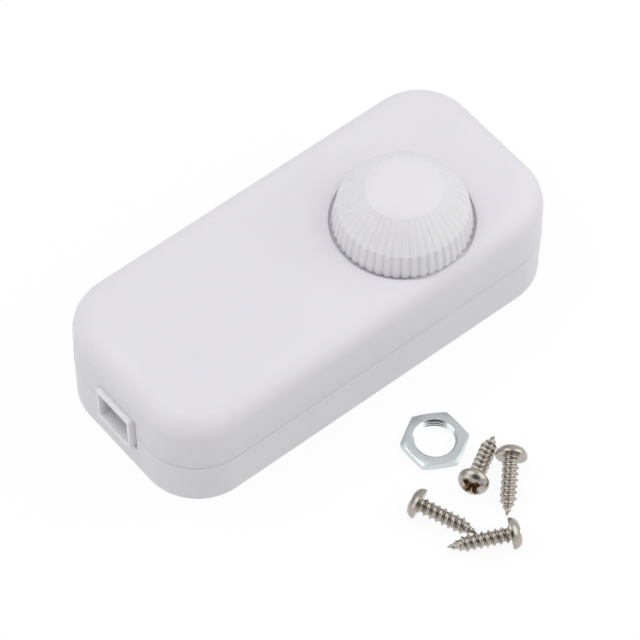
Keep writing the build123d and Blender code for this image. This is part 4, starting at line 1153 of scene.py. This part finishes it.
def coverColumn(angle):
    # the cover's section in one direction from the knob's axis, from the well out and back
    c = cover
    draft = radians(c["draft"])
    ball = c["fillet"]
    spring = case["height"] - ball
    parting = case["parting"]
    middle = filletMiddle(case["height"], ball)
    well = c["wellRadius"]

    def depthAt(r):
        return insideDistance(*fromAxis(angle, r))

    def topAt(r):
        return spring + sqrt(ball ** 2 - max(0.0, middle - depthAt(r)) ** 2)

    # the well's edge, or the place where the ledge runs out through the fillet
    start = well + c["rimEase"]
    edge = topAt(well)
    rim = edge - c["ledge"]
    if rim > 0:
        ledgeEnd = well
        ease = min(c["rimEase"], c["rimShare"] * rim)
        line = bend((well, edge - ease), (well, edge), (start, topAt(start)), c["rimRows"])
    else:
        ledgeEnd = reach(angle, ledgeInset())
        steps = [step / c["rimRows"] for step in range(c["rimRows"] + 1)]
        line = [(r, topAt(r)) for r in (ledgeEnd + (start - ledgeEnd) * t for t in steps)]
    # the flat top and the fillet, with the same number of rows in every direction
    flat = max(0.0, reach(angle, middle) - start)
    turn = 0.0 if flat > 0 else asin((middle - depthAt(start)) / ball)
    whole = flat + ball * (pi / 2 - draft - turn)
    split = max(flat, c["flatRows"] / (c["flatRows"] + c["filletRows"]) * whole)
    near = min(c["closeRow"], split * c["closeShare"])
    along = [near, split / 2, split - near, split]
    for step in range(1, c["filletRows"] + 1):
        along.append(split + (whole - split) * step / c["filletRows"])
    for run in along:
        if run <= flat:
            line.append((start + run, case["height"]))
        else:
            t = turn + (run - flat) / ball
            line.append((reach(angle, middle - ball * sin(t)), spring + ball * cos(t)))
    for z in (spring - c["closeRow"], *c["sideRows"], parting + c["partingEase"]):
        line.append((reach(angle, (z - parting) * tan(draft)), z))
    brought = (reach(angle, c["partingEase"]), parting)
    line += bend(line[-1], (reach(angle, 0.0), parting), brought, c["partingRows"])[1:]
    line += coverInside(angle, ledgeEnd)
    return [(*fromAxis(angle, r), z) for r, z in line]


def buildTopCover():
    c = cover
    columns = [coverColumn(angle) for angle in coverAngles()]
    bm = wovenShell([list(row) for row in zip(*columns)], True)
    bosses = posts(bossPlaces, c["bossRadius"], case["bossSeam"], c["roof"] + into, c["bossSteps"])
    pilots = posts(bossPlaces, c["pilotRadius"], c["pilotBottom"], c["pilotTop"], c["pilotSteps"])
    bm = combine(bm, bosses, "UNION")
    bm = combine(bm, pilots + notchTools(), "DIFFERENCE")
    finishPiece(bm, "upperCover", "case", "casePlastic", "top_cover", c["sharp"])


base = {
    "inset": 0.12,
    "draft": 0.5,
    "edge": 0.8,
    "edgeRows": 5,
    "rimEase": 0.1,
    "rimRows": 2,
    "cornerColumns": 14,
    "grooveHeight": 0.35,
    "grooveDepth": 0.6,
    "lipInset": 1.25,
    "lipTop": 13.4,
    "floor": 2.0,
    "bossRadius": 4.75,
    "bossSteps": 48,
    "sinkRadius": 3.5,
    "sinkEase": 0.25,
    "holeRadius": 2.0,
    "postRadius": 2.5,
    "postSteps": 32,
    "boardPosts": ((-27.0, 16.0), (29.0, 16.0)),
    "boardPostTop": 4.5,
    "boardPilot": (1.1, 1.2, 6.0),       # radius, bottom and top
    "clampPosts": (38.0, 7.0),
    "clampPostTop": 13.2,
    "clampPilot": (1.35, 2.0, 14.0),
    "pilotSteps": 24,
    "sill": (2.0, 10.0),                 # thickness and width of what the cord lies on
    "sillPlace": 38.0,
    "sillTop": 8.05,
    "stop": (1.2, 2.0),                  # the ribs that hold a collar's flange
    "stopPlace": (45.88, 5.7),
    "stopTop": 16.4,
}


def caseRing(inset, height):
    # a row of points round the case's outline brought in by inset
    outline = roundedRectangle(cornerX, cornerY, case["corner"] - inset, base["cornerColumns"])
    return [(x, y, height) for x, y in outline]


def baseSection():
    # the base's section as inset and height, from its underside up and down to the inner floor
    b = base
    side, edge, ease, lip = b["inset"], b["edge"], b["rimEase"], b["lipInset"]
    parting = case["parting"]
    low = side + parting * tan(radians(b["draft"]))
    rim = parting - b["grooveHeight"]
    groove = side + b["grooveDepth"]
    inside = side + case["wall"]
    line = bend((low + edge, 0.0), (low, 0.0), (low, edge), b["edgeRows"])
    line.append((side, rim - ease))
    line += bend(line[-1], (side, rim), (side + ease, rim), b["rimRows"])[1:]
    return line + [
        (groove, rim), (groove, parting), (lip, parting),
        (lip, b["lipTop"]), (inside, b["lipTop"]), (inside, b["floor"]),
    ]


def screwSink(place):
    b = base
    wide, ease, high = b["sinkRadius"], b["sinkEase"], case["bossSeam"] + 2 * into
    return turnProfile([
        (0, -into), (wide + ease + into, -into), (wide + ease, 0.0), (wide, ease),
        (wide, case["headSink"]), (b["holeRadius"], case["headSink"]), (b["holeRadius"], high),
        (0, high),
    ], b["bossSteps"], centre=(*place, 0))


def buildBaseCover():
    b = base
    bm = wovenShell([caseRing(inset, z) for inset, z in baseSection()], False)
    boards = [(x, sy * y) for x, y in b["boardPosts"] for sy in bothSides]
    clampX, clampY = b["clampPosts"]
    clamps = [(sx * clampX, sy * clampY) for sx in bothSides for sy in bothSides]
    under = b["floor"] - into
    added = posts(bossPlaces, b["bossRadius"], under, case["bossSeam"], b["bossSteps"])
    added += posts(boards, b["postRadius"], under, b["boardPostTop"], b["postSteps"])
    added += posts(clamps, b["postRadius"], under, b["clampPostTop"], b["postSteps"])
    stopX, stopY = b["stopPlace"]
    for sx in bothSides:
        ribs = [(b["sill"], b["sillTop"], sx * b["sillPlace"], 0)]
        ribs += [(b["stop"], b["stopTop"], sx * stopX, sy * stopY) for sy in bothSides]
        for size, top, x, y in ribs:
            added.append(boxSolid((*size, top - under), (x, y, (top + under) / 2)))
    removed = [screwSink(place) for place in bossPlaces]
    removed += posts(boards, *b["boardPilot"], b["pilotSteps"])
    removed += posts(clamps, *b["clampPilot"], b["pilotSteps"])
    bm = combine(bm, added, "UNION")
    bm = combine(bm, removed + notchTools(), "DIFFERENCE")
    sharp = cover["sharp"]
    finishPiece(bm, "lowerCover", "case", "casePlastic", "base_cover", sharp)


buildTopCover()
buildBaseCover()
print("covers built")


# cord collars: a sleeve with softened edges, held behind the wall by its flange
collar = {
    "wallSide": 0.7,
    "wallEnd": 1.15,
    "corner": 0.35,
    "holeCorner": 0.12,
    "ease": 0.16,
    "easeRows": 3,
    "cornerColumns": 3,
    "flange": 0.8,
    "flangeThickness": 1.2,
    "flangeCorner": 0.6,
    "sleeve": 3.22,
    "sharp": 40.0,
}


def collarRing(halfWidth, halfHeight, corner, depth, side):
    # a row of points at a depth behind the sleeve's front
    x = side * (case["length"] / 2 + case["collarProud"] - depth)
    middle = case["collarBottom"] + case["collarHeight"] / 2
    columns = collar["cornerColumns"]
    outline = roundedRectangle(halfWidth - corner, halfHeight - corner, corner, columns)
    return [(x, y, middle + z) for y, z in outline]


def buildCollar(name, side, node):
    c = collar
    wide = case["collarWidth"] / 2
    tall = case["collarHeight"] / 2
    back = c["sleeve"] + c["flangeThickness"]
    ease, rows = c["ease"], c["easeRows"]
    hole = (wide - c["wallSide"], tall - c["wallEnd"])
    flange = (wide + c["flange"], tall + c["flange"])
    # each ring is half of its width and height, its corner and its depth
    rings = [(*hole, c["holeCorner"], back), (*hole, c["holeCorner"], ease)]
    for out, depth in bend((0, ease), (0, 0), (ease, 0), rows)[1:]:
        rings.append((hole[0] + out, hole[1] + out, c["holeCorner"] + out, depth))
    for out, depth in bend((-ease, 0), (0, 0), (0, ease), rows):
        rings.append((wide + out, tall + out, c["corner"], depth))
    rings += [
        (wide, tall, c["corner"], c["sleeve"]),
        (*flange, c["flangeCorner"], c["sleeve"]),
        (*flange, c["flangeCorner"], back),
    ]
    bm = wovenShell([collarRing(*ring, side) for ring in rings], True)
    finishPiece(bm, name, "case", "collarLitPlastic", node, c["sharp"])


buildCollar("collarNear", -1, "cord_collar_in")
buildCollar("collarFar", 1, "cord_collar_out")
print("collars built")
